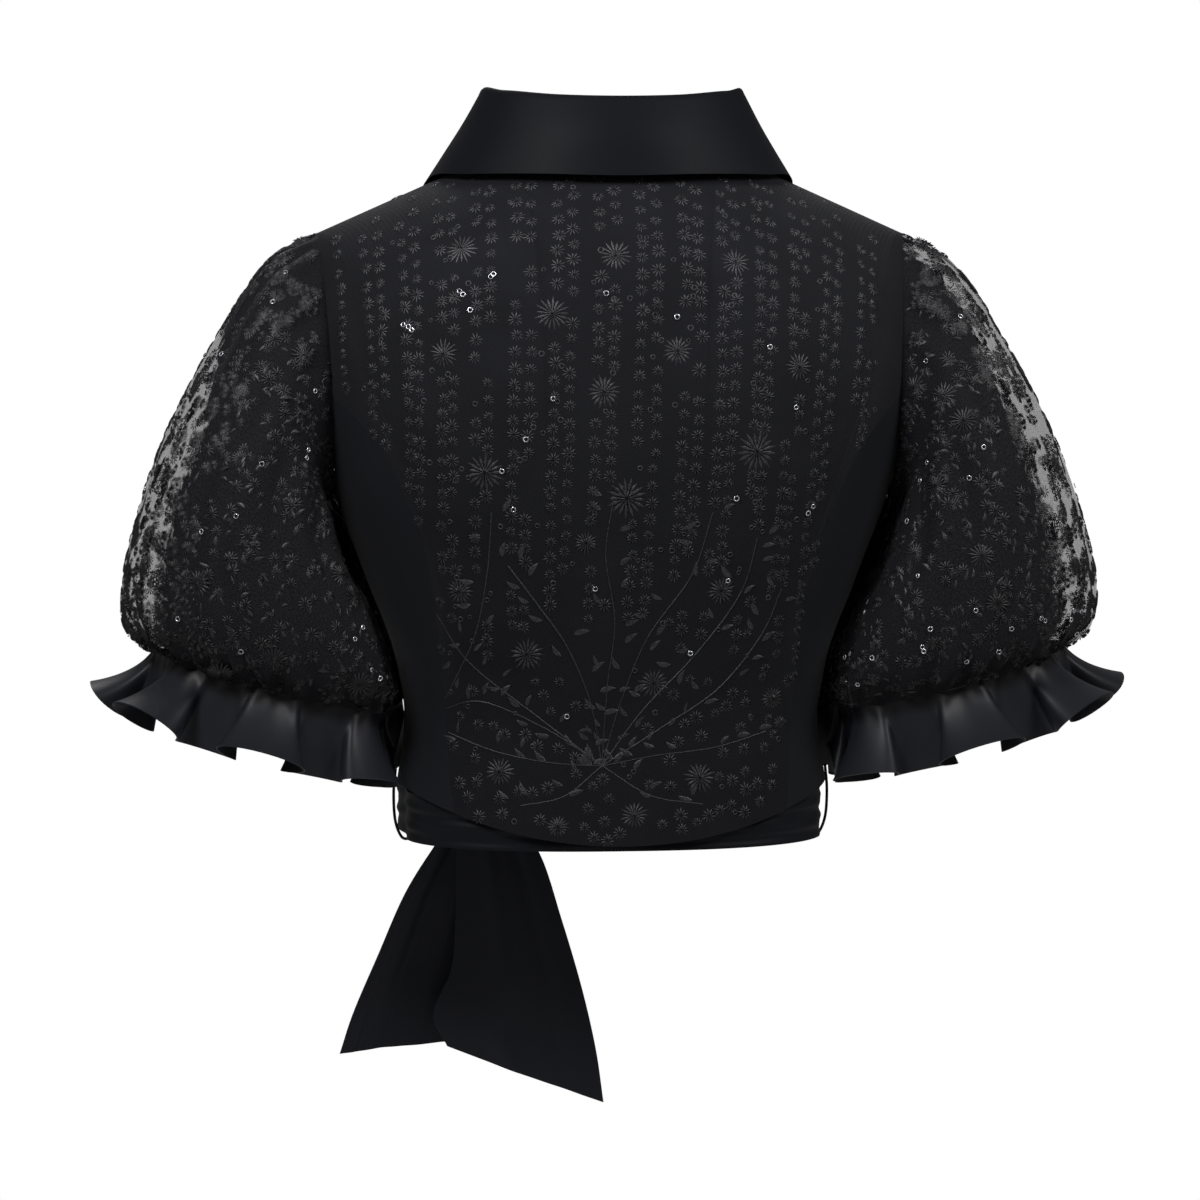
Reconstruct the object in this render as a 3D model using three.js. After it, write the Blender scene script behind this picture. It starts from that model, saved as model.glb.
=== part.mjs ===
// Cropped lace top, worn shape with nobody in it: front towards -Y, back towards +Y, up is +Z.
// The origin is between the two points where the neckline meets the shoulder seams.
import * as THREE from 'three';
import { mergeVertices } from 'three/addons/utils/BufferGeometryUtils.js';

// Wall thicknesses and seam gap, millimetres. A seam gap takes a share of each panel's narrowest
// width and of its height.
const PANEL_WALL = 1.4;
const COLLAR_WALL = 1.4;
const SLEEVE_WALL = 1.1;
const RUFFLE_WALL = 1.0;
const SASH_WALL = 1.2;
const HALF_GAP = 0.22;
const PANEL_HEIGHT = 160;
const PANEL_ROWS = 14;
const BACK_NARROWEST = 90;
const SIDE_NARROWEST = 55;
const FRONT_NARROWEST = 150;

// Neck and shoulders
const NECK_HALF = 71;
const NECK_DROP = 4;
const SHOULDER_TIP = 180;
const SHOULDER_SLOPE = 0.445;
const SHOULDER_SEAM_Y = -2;
const SHOULDER_ARCH = 100;
const SHOULDER_TURN_LIMIT = 1.55;

// Torso rings: level, half width at the sides, depth of the back and depth of the front
const RING_POWER = 2.4;
const TORSO_RINGS = [
  { level: 0, half: 186, back: 86, front: 90 },
  { level: -60, half: 186, back: 96, front: 102 },
  { level: -120, half: 186, back: 104, front: 116 },
  { level: -150, half: 184, back: 106, front: 124 },
  { level: -182, half: 177, back: 105, front: 129 },
  { level: -206, half: 171, back: 102, front: 130 },
  { level: -230, half: 163, back: 98, front: 125 },
  { level: -259, half: 152, back: 93, front: 115 },
  { level: -288, half: 141, back: 88, front: 105 },
  { level: -318, half: 132, back: 84, front: 97 },
  { level: -347, half: 128, back: 82, front: 93 },
  { level: -389, half: 133, back: 86, front: 95 },
  { level: -430, half: 140, back: 93, front: 99 },
];

// Hem: level at the side seams and how much lower the middle of the back and front reach
const SIDE_HEM = -386;
const BACK_TAIL = 32;
const FRONT_DIP = 18;

// Armhole loop: lowest point, and how far its width changes on the way up
const ARMHOLE_BOTTOM = -206;
const ARMHOLE_HALF = 171;
const ARMHOLE_SPREAD = 9;
const ARMHOLE_FRONT_CUT = 7;

// Princess seams of the back: level and distance from the centre line
const PRINCESS = [
  { level: -146, out: 173 },
  { level: -163, out: 156 },
  { level: -189, out: 139 },
  { level: -215, out: 127 },
  { level: -240, out: 119 },
  { level: -270, out: 113 },
  { level: -323, out: 107 },
  { level: -430, out: 99 },
];
const PRINCESS_FOOT = -398;

// Wrap front: where each front edge meets the hem, past the centre line, and the overlap's lift
const WRAP_REACH = 92;
const WRAP_BOW = 7;
const WRAP_LIFT = 4.1;
const WRAP_EASE = 26;

// Collar: evenly spaced stations from the middle of the back to the front end, half way at the
// shoulder seam. The fold is the top of the stand; middle and edge belong to the fall.
const COLLAR_STATIONS = [
  { fold: [0, 55, 32], middle: [0, 66, 12], edge: [0, 73, -14] },
  { fold: [37, 48, 33], middle: [44, 58, 12], edge: [49, 65, -13] },
  { fold: [67, 28, 36], middle: [79, 35, 13], edge: [90, 39, -13] },
  { fold: [79, 0, 36], middle: [95, 1, 12], edge: [110, 0, -14] },
  { fold: [72, -54, 6], middle: [96, -52, -10], edge: [116, -48, -32] },
  { fold: [56, -84, -30], middle: [86, -83, -45], edge: [113, -80, -66] },
  { fold: [38.5, -107, -69], middle: [68, -110, -88], edge: [95, -109, -112] },
];
const COLLAR_FRONT_END = -74;
const COLLAR_SEAM_POWER = 1.2;
const COLLAR_ROLL_LIFT = 0.3;
const COLLAR_ROLL = 2.8;
const COLLAR_SEAM_LIFT = 1.1;
const COLLAR_SEAM_IN = 1.2;
const COLLAR_COLUMNS = 24;

// Sleeve sections from armhole to cuff: outer and inner point in the front view, half depth, and
// how far the inner front reaches round the torso
const SLEEVE_SECTIONS = [
  { outX: 212, outZ: -68, inX: 177, inZ: -215, halfDepth: 66, hug: 0 },
  { outX: 243, outZ: -113, inX: 173, inZ: -232, halfDepth: 77, hug: 20 },
  { outX: 275, outZ: -174, inX: 166, inZ: -252, halfDepth: 85, hug: 32 },
  { outX: 295, outZ: -233, inX: 151, inZ: -278, halfDepth: 89, hug: 38 },
  { outX: 302, outZ: -268, inX: 141, inZ: -306, halfDepth: 88, hug: 42 },
  { outX: 298, outZ: -290, inX: 137, inZ: -327, halfDepth: 81, hug: 42 },
  { outX: 281, outZ: -303, inX: 141, inZ: -343, halfDepth: 65, hug: 28 },
];
const SLEEVE_CENTRE_Y = 2;
const BACK_HUG_SHARE = 0.3;
const SLEEVE_CLEARANCE = 4;
const SLEEVE_SIDES = 26;
const SLEEVE_STEPS = 10;
const GATHER_COUNT = 13;
const GATHER_DEPTH = 1.8;
const ARMHOLE_STEP = 2.4;
const ARMHOLE_STEP_SWING = 0.35;

// Cuff ruffle: depth, how far its free edge stands out from the cuff outside, beside and inside,
// and its flutes, which swing out and in, are rounder than a wave and wider outside than inside
const RUFFLE_DEPTH = 45;
const RUFFLE_FLARE = { outside: 15, beside: 15, inside: 9 };
const RUFFLE_SWING = 17;
const RUFFLE_ROUNDING = 9.5;
const RUFFLE_WIDENING = 3;
const RUFFLE_GATHER = 1.2;
const RUFFLE_FLUTES = 8;
const RUFFLE_SIDES = 64;
const RUFFLE_SEAM_GAP = 1.2;
const RUFFLE_CLEARANCE = 8;

// Sash: a ring below the side hems, a knot at the front left and two hanging tails
const SASH_TOP = -390;
const SASH_BOTTOM = -420;
const SASH_LEVEL = -400;
const SASH_OFFSETS = [
  { angle: -90, offset: 6.9 },
  { angle: -60, offset: 6.9 },
  { angle: -30, offset: 5.6 },
  { angle: -14, offset: -2 },
  { angle: 0, offset: -7.5 },
  { angle: 22, offset: -4 },
  { angle: 90, offset: -4 },
];
const SASH_SIDES = 40;
const KNOT = { x: 72, z: -405, halfWide: 25, halfDeep: 12, halfTall: 17, clear: 0.1 };

// Each tail: rows down its length with its two long edges and its depth in front of the body
const TAIL_FRONT = [
  { leftX: 89, leftZ: -421.9, rightX: 64, rightZ: -421.9, y: -106.5, fold: 0.3 },
  { leftX: 104, leftZ: -443, rightX: 66, rightZ: -445, y: -113, fold: 3 },
  { leftX: 124, leftZ: -475, rightX: 72, rightZ: -480, y: -114, fold: 5 },
  { leftX: 142, leftZ: -516, rightX: 80, rightZ: -515, y: -115, fold: 6 },
  { leftX: 158, leftZ: -553, rightX: 88, rightZ: -545, y: -115, fold: 5 },
  { leftX: 167, leftZ: -580, rightX: 93, rightZ: -573, y: -115, fold: 4 },
];
const TAIL_REAR = [
  { leftX: 86, leftZ: -421.9, rightX: 60, rightZ: -421.9, y: -103.7, fold: -0.3 },
  { leftX: 91, leftZ: -445, rightX: 38, rightZ: -447, y: -103, fold: -3 },
  { leftX: 92, leftZ: -485, rightX: 23, rightZ: -492, y: -101, fold: -5 },
  { leftX: 95, leftZ: -522, rightX: 10, rightZ: -537, y: -100, fold: -6 },
  { leftX: 107, leftZ: -552, rightX: 1, rightZ: -577, y: -100, fold: -5 },
  { leftX: 98, leftZ: -573, rightX: -4, rightZ: -612, y: -100, fold: -4 },
];

// Thin loops that carry the sash: down outside the side seam, under the sash and up inside it
const LOOP_HALF = 1.0;
const LOOP_ROUTE = [
  { x: 134.1, z: -379 },
  { x: 135.4, z: -394 },
  { x: 134.5, z: -411 },
  { x: 130.6, z: -421.4 },
  { x: 125.8, z: -422.4 },
  { x: 124.3, z: -418.6 },
  { x: 124.7, z: -402 },
  { x: 125.1, z: -389 },
  { x: 129.2, z: -379 },
];
const LOOP_STEPS = 16;
const LOOP_SIDES = 6;

// Finishes
const LACE_BACK = { color: 0x17171b, roughness: 0.85, metalness: 0 };
const PLAIN_SIDE = { color: 0x16181c, roughness: 0.8, metalness: 0 };
const SATIN = { color: 0x1a1c21, roughness: 0.42, metalness: 0 };
const SHEER_LACE = { color: 0x1c1c20, roughness: 0.9, metalness: 0 };
const LOOP_THREAD = { color: 0x101014, roughness: 0.6, metalness: 0 };

const top = new THREE.Group();
top.name = 'lace_top';

// Small helpers
const clamp01 = (value) => Math.min(1, Math.max(0, value));
const mix = (a, b, t) => a + (b - a) * t;
const ease = (t) => clamp01(t) * clamp01(t) * (3 - 2 * clamp01(t));
const TURN = 2 * Math.PI;

// Smooth curve through a table's rows, looked up by one column
function lookup(rows, key, column, at) {
  const rising = rows[rows.length - 1][key] > rows[0][key];
  const ordered = rising ? rows : [...rows].reverse();
  const value = Math.min(ordered[ordered.length - 1][key], Math.max(ordered[0][key], at));
  let index = 0;
  while (index < ordered.length - 2 && value > ordered[index + 1][key]) {
    index += 1;
  }
  const slope = (i) => {
    const before = ordered[Math.max(0, i - 1)];
    const after = ordered[Math.min(ordered.length - 1, i + 1)];
    return (after[column] - before[column]) / (after[key] - before[key]);
  };
  const span = ordered[index + 1][key] - ordered[index][key];
  const t = (value - ordered[index][key]) / span;
  const rise = (t * t) * (3 - 2 * t);
  const start = t * (1 - t) * (1 - t) * span * slope(index);
  const end = t * t * (1 - t) * span * slope(index + 1);
  return mix(ordered[index][column], ordered[index + 1][column], rise) + start - end;
}

// Smooth curve through evenly spaced rows, t from 0 to 1
function alongRows(rows, column, t) {
  const points = rows.map((row, index) => ({ at: index, value: row[column] }));
  return lookup(points, 'at', 'value', t * (rows.length - 1));
}

// Torso surface. An angle of 0 is the left side seam, 90 degrees the middle of the back and
// -90 the middle of the front. A climb of 0 is where the cloth starts to round over the shoulder.
function ringUnit(angle) {
  const c = Math.cos(angle);
  const s = Math.sin(angle);
  const scale = (Math.abs(c) ** RING_POWER + Math.abs(s) ** RING_POWER) ** (-1 / RING_POWER);
  return { x: scale * c, y: scale * s };
}

function shoulderLine(x) {
  const out = Math.abs(x) / NECK_HALF;
  const crown = (NECK_HALF / 2) * (1 - out * out);
  return SHOULDER_SLOPE * (out < 1 ? crown : NECK_HALF * (1 - out));
}

function torsoPoint(angle, climb) {
  const unit = ringUnit(angle);
  const archStart = shoulderLine(TORSO_RINGS[0].half * unit.x) - SHOULDER_ARCH;
  const turn = Math.max(0, climb) / SHOULDER_ARCH;
  const z = climb > 0 ? archStart + SHOULDER_ARCH * Math.sin(turn) : archStart + climb;
  const depth = lookup(TORSO_RINGS, 'level', unit.y >= 0 ? 'back' : 'front', z);
  const x = lookup(TORSO_RINGS, 'level', 'half', z) * unit.x;
  const y = mix(SHOULDER_SEAM_Y, depth * unit.y, Math.cos(turn));
  return new THREE.Vector3(x, y, z);
}

function climbAt(angle, z) {
  const archStart = shoulderLine(TORSO_RINGS[0].half * ringUnit(angle).x) - SHOULDER_ARCH;
  const rise = z - archStart;
  return rise > 0 ? SHOULDER_ARCH * Math.asin(clamp01(rise / SHOULDER_ARCH)) : rise;
}

function angleAt(x, z, side) {
  const across = Math.min(1, Math.abs(x) / lookup(TORSO_RINGS, 'level', 'half', z));
  const deep = (1 - across ** RING_POWER) ** (1 / RING_POWER);
  const angle = Math.atan2(deep, across);
  return side * (x >= 0 ? angle : Math.PI - angle);
}

// A place on the torso as angle and climb, from its width and level in the front view
function spot(x, z, side) {
  const angle = angleAt(x, z, side);
  return { angle, climb: climbAt(angle, z) };
}

function torsoNormal(angle, climb) {
  const step = 0.002;
  const along = torsoPoint(angle + step, climb).sub(torsoPoint(angle - step, climb));
  const up = torsoPoint(angle, climb + 0.2).sub(torsoPoint(angle, climb - 0.2));
  return along.cross(up).normalize();
}

// Armhole loop of the left side: turn 0 at the shoulder tip, half a turn at the underarm
function armholeSpot(turn) {
  const tipLevel = shoulderLine(SHOULDER_TIP);
  const middle = (tipLevel + ARMHOLE_BOTTOM) / 2;
  const z = middle + (tipLevel - middle) * Math.cos(turn);
  const rise = (1 + Math.cos(turn)) / 2;
  const side = Math.sin(turn) >= -1e-9 ? 1 : -1;
  const cut = side < 0 ? ARMHOLE_FRONT_CUT * Math.sin(turn) ** 2 : 0;
  const x = ARMHOLE_HALF + ARMHOLE_SPREAD * rise * rise - cut;
  return spot(x, z, side);
}

// Closed wall around a surface given as point(u, v), with u and v from 0 to 1
function wall(point, columns, rows, thickness, wrap, normalAt) {
  const positions = [];
  const indices = [];
  const across = wrap ? columns : columns + 1;
  const normal = (u, v) => {
    const step = 1e-3;
    const low = wrap ? u - step : Math.max(0, u - step);
    const high = wrap ? u + step : Math.min(1, u + step);
    const du = point(high, v).sub(point(low, v));
    const dv = point(u, Math.min(1, v + step)).sub(point(u, Math.max(0, v - step)));
    return du.cross(dv).normalize();
  };
  const layer = (side) => {
    for (let j = 0; j <= rows; j += 1) {
      for (let i = 0; i < across; i += 1) {
        const u = i / columns;
        const v = j / rows;
        const out = (normalAt ? normalAt(u, v) : normal(u, v)).multiplyScalar((side * thickness) / 2);
        const place = point(u, v).add(out);
        positions.push(place.x, place.y, place.z);
      }
    }
  };
  layer(1);
  layer(-1);
  const back = across * (rows + 1);
  const id = (i, j, offset) => offset + j * across + (wrap ? (i + columns) % columns : i);
  const corner = (k) => new THREE.Vector3().fromArray(positions, 3 * k);
  const quad = (a, b, c, d) => {
    const short = corner(a).distanceTo(corner(c)) <= corner(b).distanceTo(corner(d)) + 1e-3;
    indices.push(...(short ? [a, b, c, a, c, d] : [a, b, d, b, c, d]));
  };
  for (let j = 0; j < rows; j += 1) {
    for (let i = 0; i < columns; i += 1) {
      quad(id(i, j, 0), id(i + 1, j, 0), id(i + 1, j + 1, 0), id(i, j + 1, 0));
      quad(id(i, j, back), id(i, j + 1, back), id(i + 1, j + 1, back), id(i + 1, j, back));
    }
  }
  for (let i = 0; i < columns; i += 1) {
    quad(id(i, 0, back), id(i + 1, 0, back), id(i + 1, 0, 0), id(i, 0, 0));
    quad(id(i, rows, 0), id(i + 1, rows, 0), id(i + 1, rows, back), id(i, rows, back));
  }
  if (!wrap) {
    for (let j = 0; j < rows; j += 1) {
      quad(id(0, j, 0), id(0, j + 1, 0), id(0, j + 1, back), id(0, j, back));
      quad(id(columns, j, back), id(columns, j + 1, back), id(columns, j + 1, 0), id(columns, j, 0));
    }
  }
  const geometry = new THREE.BufferGeometry();
  geometry.setAttribute('position', new THREE.Float32BufferAttribute(positions, 3));
  geometry.setIndex(indices);
  return facingOut(geometry);
}

// Shared corners joined, so that each corner has one place in the list
function indexed(geometry) {
  geometry.deleteAttribute('normal');
  geometry.deleteAttribute('uv');
  return mergeVertices(geometry, 1e-3);
}

// Turn a closed mesh's faces outward
function facingOut(geometry) {
  const position = geometry.getAttribute('position');
  const index = geometry.getIndex();
  const corner = (i) => new THREE.Vector3().fromBufferAttribute(position, index.getX(i));
  let volume = 0;
  for (let i = 0; i < index.count; i += 3) {
    volume += corner(i).dot(corner(i + 1).cross(corner(i + 2)));
  }
  if (volume < 0) {
    const flipped = [];
    for (let i = 0; i < index.count; i += 3) {
      flipped.push(index.getX(i), index.getX(i + 2), index.getX(i + 1));
    }
    geometry.setIndex(flipped);
  }
  geometry.computeVertexNormals();
  return geometry;
}

// The same piece for the other side of the body
function mirrored(geometry) {
  const copy = geometry.clone();
  copy.scale(-1, 1, 1);
  return facingOut(copy);
}

function addPiece(name, geometry, finish) {
  const mesh = new THREE.Mesh(geometry, new THREE.MeshStandardMaterial(finish));
  mesh.name = name;
  top.add(mesh);
}

// Patch between four borders, each a function of 0 to 1 giving angle and climb
function patch(bottom, upper, left, right, u, v) {
  const blend = (column) => {
    const rows = mix(bottom(u)[column], upper(u)[column], v);
    const sides = mix(left(v)[column], right(v)[column], u);
    const low = mix(bottom(0)[column], bottom(1)[column], u);
    const high = mix(upper(0)[column], upper(1)[column], u);
    return rows + sides - mix(low, high, v);
  };
  return { angle: blend('angle'), climb: blend('climb') };
}

// Torso panel from its four borders. Its narrowest width sets the share of it that seam gaps take.
// The lift moves the cloth out where it laps over another.
function panel(borders, columns, width, lift) {
  const inset = (t, size) => mix(HALF_GAP / size, 1 - HALF_GAP / size, t);
  const place = (u, v) => patch(...borders, inset(u, width), inset(v, PANEL_HEIGHT));
  const outward = (u, v) => {
    const { angle, climb } = place(u, v);
    return torsoNormal(angle, Math.min(climb, SHOULDER_ARCH * SHOULDER_TURN_LIMIT));
  };
  const point = (u, v) => {
    const { angle, climb } = place(u, v);
    const base = torsoPoint(angle, climb);
    return lift ? base.add(outward(u, v).multiplyScalar(lift(base))) : base;
  };
  return wall(point, columns, PANEL_ROWS, PANEL_WALL, false, outward);
}

// Borders of the back
function backHem(angle) {
  const across = ringUnit(angle).x;
  return SIDE_HEM - BACK_TAIL * (1 - across * across);
}

function frontHem(angle) {
  const across = ringUnit(angle).x;
  return SIDE_HEM - FRONT_DIP * (1 - across * across);
}

function onHem(angle) {
  const z = Math.sin(angle) >= 0 ? backHem(angle) : frontHem(angle);
  return { angle, climb: climbAt(angle, z) };
}

function princessSpot(t) {
  const z = mix(PRINCESS_FOOT, PRINCESS[0].level, t);
  return spot(lookup(PRINCESS, 'level', 'out', z), z, 1);
}

function hemAngleOfPrincess() {
  return princessSpot(0).angle;
}

const tipLevel = shoulderLine(SHOULDER_TIP);
const armholeMiddle = (tipLevel + ARMHOLE_BOTTOM) / 2;
const PRINCESS_TURN = Math.acos((PRINCESS[0].level - armholeMiddle) / (tipLevel - armholeMiddle));

function necklineSpot(x) {
  const round = Math.sqrt(Math.max(0, 1 - (x / NECK_HALF) ** 2));
  return spot(x, -NECK_DROP * round, 1);
}

function shoulderSpot(t, side) {
  const x = mix(SHOULDER_TIP, NECK_HALF, t);
  const angle = angleAt(x, shoulderLine(x), side);
  return { angle, climb: (SHOULDER_ARCH * Math.PI) / 2 };
}

function flipSide(place) {
  return { angle: Math.PI - place.angle, climb: place.climb };
}

// Back centre: armhole, shoulder and half neckline in 5, 3 and 4 columns, then mirrored
const ARMHOLE_COLUMNS = 5;
const SHOULDER_COLUMNS = 3;
const NECK_COLUMNS = 4;
const SIDE_COLUMNS = 5;

function backTopHalf(t) {
  const column = t * (ARMHOLE_COLUMNS + SHOULDER_COLUMNS + NECK_COLUMNS);
  if (column <= ARMHOLE_COLUMNS) {
    return armholeSpot(mix(PRINCESS_TURN, 0, column / ARMHOLE_COLUMNS));
  }
  if (column <= ARMHOLE_COLUMNS + SHOULDER_COLUMNS) {
    return shoulderSpot((column - ARMHOLE_COLUMNS) / SHOULDER_COLUMNS, 1);
  }
  const t2 = (column - ARMHOLE_COLUMNS - SHOULDER_COLUMNS) / NECK_COLUMNS;
  return necklineSpot(NECK_HALF * Math.cos((t2 * Math.PI) / 2));
}

function backCentre() {
  const upper = (t) => (t <= 0.5 ? backTopHalf(2 * t) : flipSide(backTopHalf(2 - 2 * t)));
  const bottom = (t) => onHem(mix(hemAngleOfPrincess(), Math.PI - hemAngleOfPrincess(), t));
  const left = (t) => (t <= 0 ? bottom(0) : princessSpot(t));
  const right = (t) => flipSide(left(t));
  const columns = 2 * (ARMHOLE_COLUMNS + SHOULDER_COLUMNS + NECK_COLUMNS);
  return panel([bottom, upper, left, right], columns, BACK_NARROWEST);
}

function sideSeam(t) {
  return { angle: 0, climb: mix(climbAt(0, SIDE_HEM), climbAt(0, ARMHOLE_BOTTOM), t) };
}

function sideBack() {
  const bottom = (t) => onHem(hemAngleOfPrincess() * t);
  const upper = (t) => armholeSpot(mix(Math.PI, PRINCESS_TURN, t));
  const right = (t) => (t <= 0 ? bottom(1) : princessSpot(t));
  return panel([bottom, upper, sideSeam, right], SIDE_COLUMNS, SIDE_NARROWEST);
}

// Front edge of the wrap, from hem to neck, for the left front
function wrapX(z) {
  const down = z / (SIDE_HEM - FRONT_DIP);
  return mix(NECK_HALF, -WRAP_REACH, down) - WRAP_BOW * Math.sin(Math.PI * clamp01(down));
}

const FRONT_ARMHOLE_COLUMNS = 8;
const FRONT_SHOULDER_COLUMNS = 4;

function frontPanel(lift) {
  const hemEnd = angleAt(-WRAP_REACH, SIDE_HEM - FRONT_DIP, -1);
  const bottom = (t) => onHem(hemEnd * t);
  const upper = (t) => {
    const column = t * (FRONT_ARMHOLE_COLUMNS + FRONT_SHOULDER_COLUMNS);
    if (column <= FRONT_ARMHOLE_COLUMNS) {
      return armholeSpot(mix(Math.PI, 2 * Math.PI, column / FRONT_ARMHOLE_COLUMNS) + 1e-6);
    }
    return shoulderSpot((column - FRONT_ARMHOLE_COLUMNS) / FRONT_SHOULDER_COLUMNS, -1);
  };
  const right = (t) => {
    const hemLevel = torsoPoint(bottom(1).angle, bottom(1).climb).z;
    const z = mix(hemLevel, 0, Math.sin((t * Math.PI) / 2));
    if (t <= 0) {
      return bottom(1);
    }
    return t >= 1 ? upper(1) : spot(wrapX(z), z, -1);
  };
  const columns = FRONT_ARMHOLE_COLUMNS + FRONT_SHOULDER_COLUMNS;
  return panel([bottom, upper, sideSeam, right], columns, FRONT_NARROWEST, lift);
}

addPiece('back_centre', backCentre(), LACE_BACK);
addPiece('side_back_left', sideBack(), PLAIN_SIDE);
addPiece('side_back_right', mirrored(sideBack()), PLAIN_SIDE);
addPiece('front_left', frontPanel(null), LACE_BACK);

// The right front is built as a left one and mirrored, lifted where the left front lies under it
const overlapLift = (place) => {
  const past = -wrapX(place.z) - place.x;
  return WRAP_LIFT * ease((past + 2 * WRAP_EASE) / WRAP_EASE);
};
addPiece('front_right', mirrored(frontPanel(overlapLift)), LACE_BACK);

// Collar: the seam follows the neckline and then the wrap edges
function collarSeam(t) {
  if (t <= 0.5) {
    return spot(NECK_HALF * Math.sin(Math.PI * t), -NECK_DROP * Math.cos(Math.PI * t), 1);
  }
  const z = COLLAR_FRONT_END * (2 * t - 1) ** COLLAR_SEAM_POWER;
  return spot(wrapX(z), z, -1);
}

function collarPoint(t, line) {
  const stops = COLLAR_STATIONS.map((station) => station[line]);
  return new THREE.Vector3(...[0, 1, 2].map((axis) => alongRows(stops, axis, t)));
}

function bothSides(u, pointOfHalf) {
  const place = pointOfHalf(Math.abs(2 * u - 1));
  place.x *= u < 0.5 ? 1 : -1;
  return place;
}

function collarStand() {
  const half = (t, v) => {
    const place = collarSeam(t);
    const seam = torsoPoint(place.angle, place.climb);
    const fold = collarPoint(t, 'fold');
    const rise = fold.clone().sub(seam).normalize();
    seam.x -= COLLAR_SEAM_IN * ease(6 * t - 2.6);
    return seam.addScaledVector(rise, COLLAR_SEAM_LIFT).lerp(fold, v);
  };
  return wall((u, v) => bothSides(u, (t) => half(t, v)), COLLAR_COLUMNS, 2, COLLAR_WALL, false);
}

function collarFall() {
  const half = (t, v) => {
    const fold = collarPoint(t, 'fold');
    const middle = collarPoint(t, 'middle');
    const place = collarSeam(t);
    const ahead = collarPoint(Math.min(1, t + 0.01), 'fold');
    const along = ahead.sub(collarPoint(Math.max(0, t - 0.01), 'fold')).normalize();
    const rise = fold.clone().sub(torsoPoint(place.angle, place.climb));
    rise.addScaledVector(along, -rise.dot(along)).normalize();
    const out = middle.clone().sub(fold);
    out.addScaledVector(along, -out.dot(along));
    out.addScaledVector(rise, -out.dot(rise)).normalize();
    const lift = HALF_GAP * 2 + COLLAR_WALL / 2;
    const start = fold.clone().addScaledVector(out, -COLLAR_WALL / 2);
    const roll = fold.clone().addScaledVector(out, COLLAR_ROLL);
    start.addScaledVector(rise, lift + COLLAR_ROLL_LIFT);
    roll.addScaledVector(rise, lift / 2);
    const line = [start, roll, middle, collarPoint(t, 'edge')];
    return new THREE.CatmullRomCurve3(line, false, 'centripetal').getPoint(v);
  };
  return wall((u, v) => bothSides(u, (t) => half(t, v)), COLLAR_COLUMNS, 5, COLLAR_WALL, false);
}

addPiece('collar_stand', collarStand(), SATIN);
addPiece('collar_fall', collarFall(), SATIN);

// Moves a point straight out from the torso's axis until it clears the torso
function keepClear(point, clearance) {
  const half = lookup(TORSO_RINGS, 'level', 'half', point.z);
  const depth = lookup(TORSO_RINGS, 'level', point.y >= 0 ? 'back' : 'front', point.z);
  const reach = ((point.x / half) ** RING_POWER + Math.abs(point.y / depth) ** RING_POWER);
  const scale = reach ** (1 / RING_POWER);
  const least = 1 + clearance / half;
  if (scale < least) {
    point.x *= least / scale;
    point.y *= least / scale;
  }
  return point;
}

// Sleeve: rings through the armhole loop and the sections, turn 0 outside and half a turn inside
function sectionPoint(section, turn) {
  const inward = (1 - Math.cos(turn)) / 2;
  const share = Math.sin(turn) > 0 ? BACK_HUG_SHARE : 1;
  const reach = inward > 0.5 ? section.hug * share * Math.sin(2 * turn) ** 2 : 0;
  const x = mix(section.outX, section.inX, inward) - reach;
  const y = SLEEVE_CENTRE_Y + section.halfDepth * Math.sin(turn);
  const z = mix(section.outZ, section.inZ, inward);
  const point = new THREE.Vector3(x, y, z);
  return section.hug > 0 ? keepClear(point, SLEEVE_CLEARANCE) : point;
}

function sleevePoint(turn, t) {
  const place = armholeSpot(((turn % TURN) + TURN) % TURN);
  const start = torsoPoint(place.angle, place.climb);
  start.x += ARMHOLE_STEP - ARMHOLE_STEP_SWING * Math.cos(turn);
  const line = [start, ...SLEEVE_SECTIONS.map((section) => sectionPoint(section, turn))];
  const point = new THREE.Vector3();
  for (const axis of ['x', 'y', 'z']) {
    point[axis] = alongRows(line, axis, t);
  }
  const last = SLEEVE_SECTIONS.length - 1;
  const centre = SLEEVE_SECTIONS[Math.min(last, Math.round(t * (last + 1)))];
  const middle = new THREE.Vector3(
    (centre.outX + centre.inX) / 2,
    SLEEVE_CENTRE_Y,
    (centre.outZ + centre.inZ) / 2,
  );
  const fade = ease(t / 0.15) * ease((1 - t) / 0.12);
  const out = point.clone().sub(middle).normalize();
  return point.addScaledVector(out, fade * GATHER_DEPTH * Math.cos(GATHER_COUNT * turn));
}

function sleeve() {
  const point = (u, v) => sleevePoint(TURN * u, v);
  return wall(point, SLEEVE_SIDES, SLEEVE_STEPS, SLEEVE_WALL, true);
}

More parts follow.
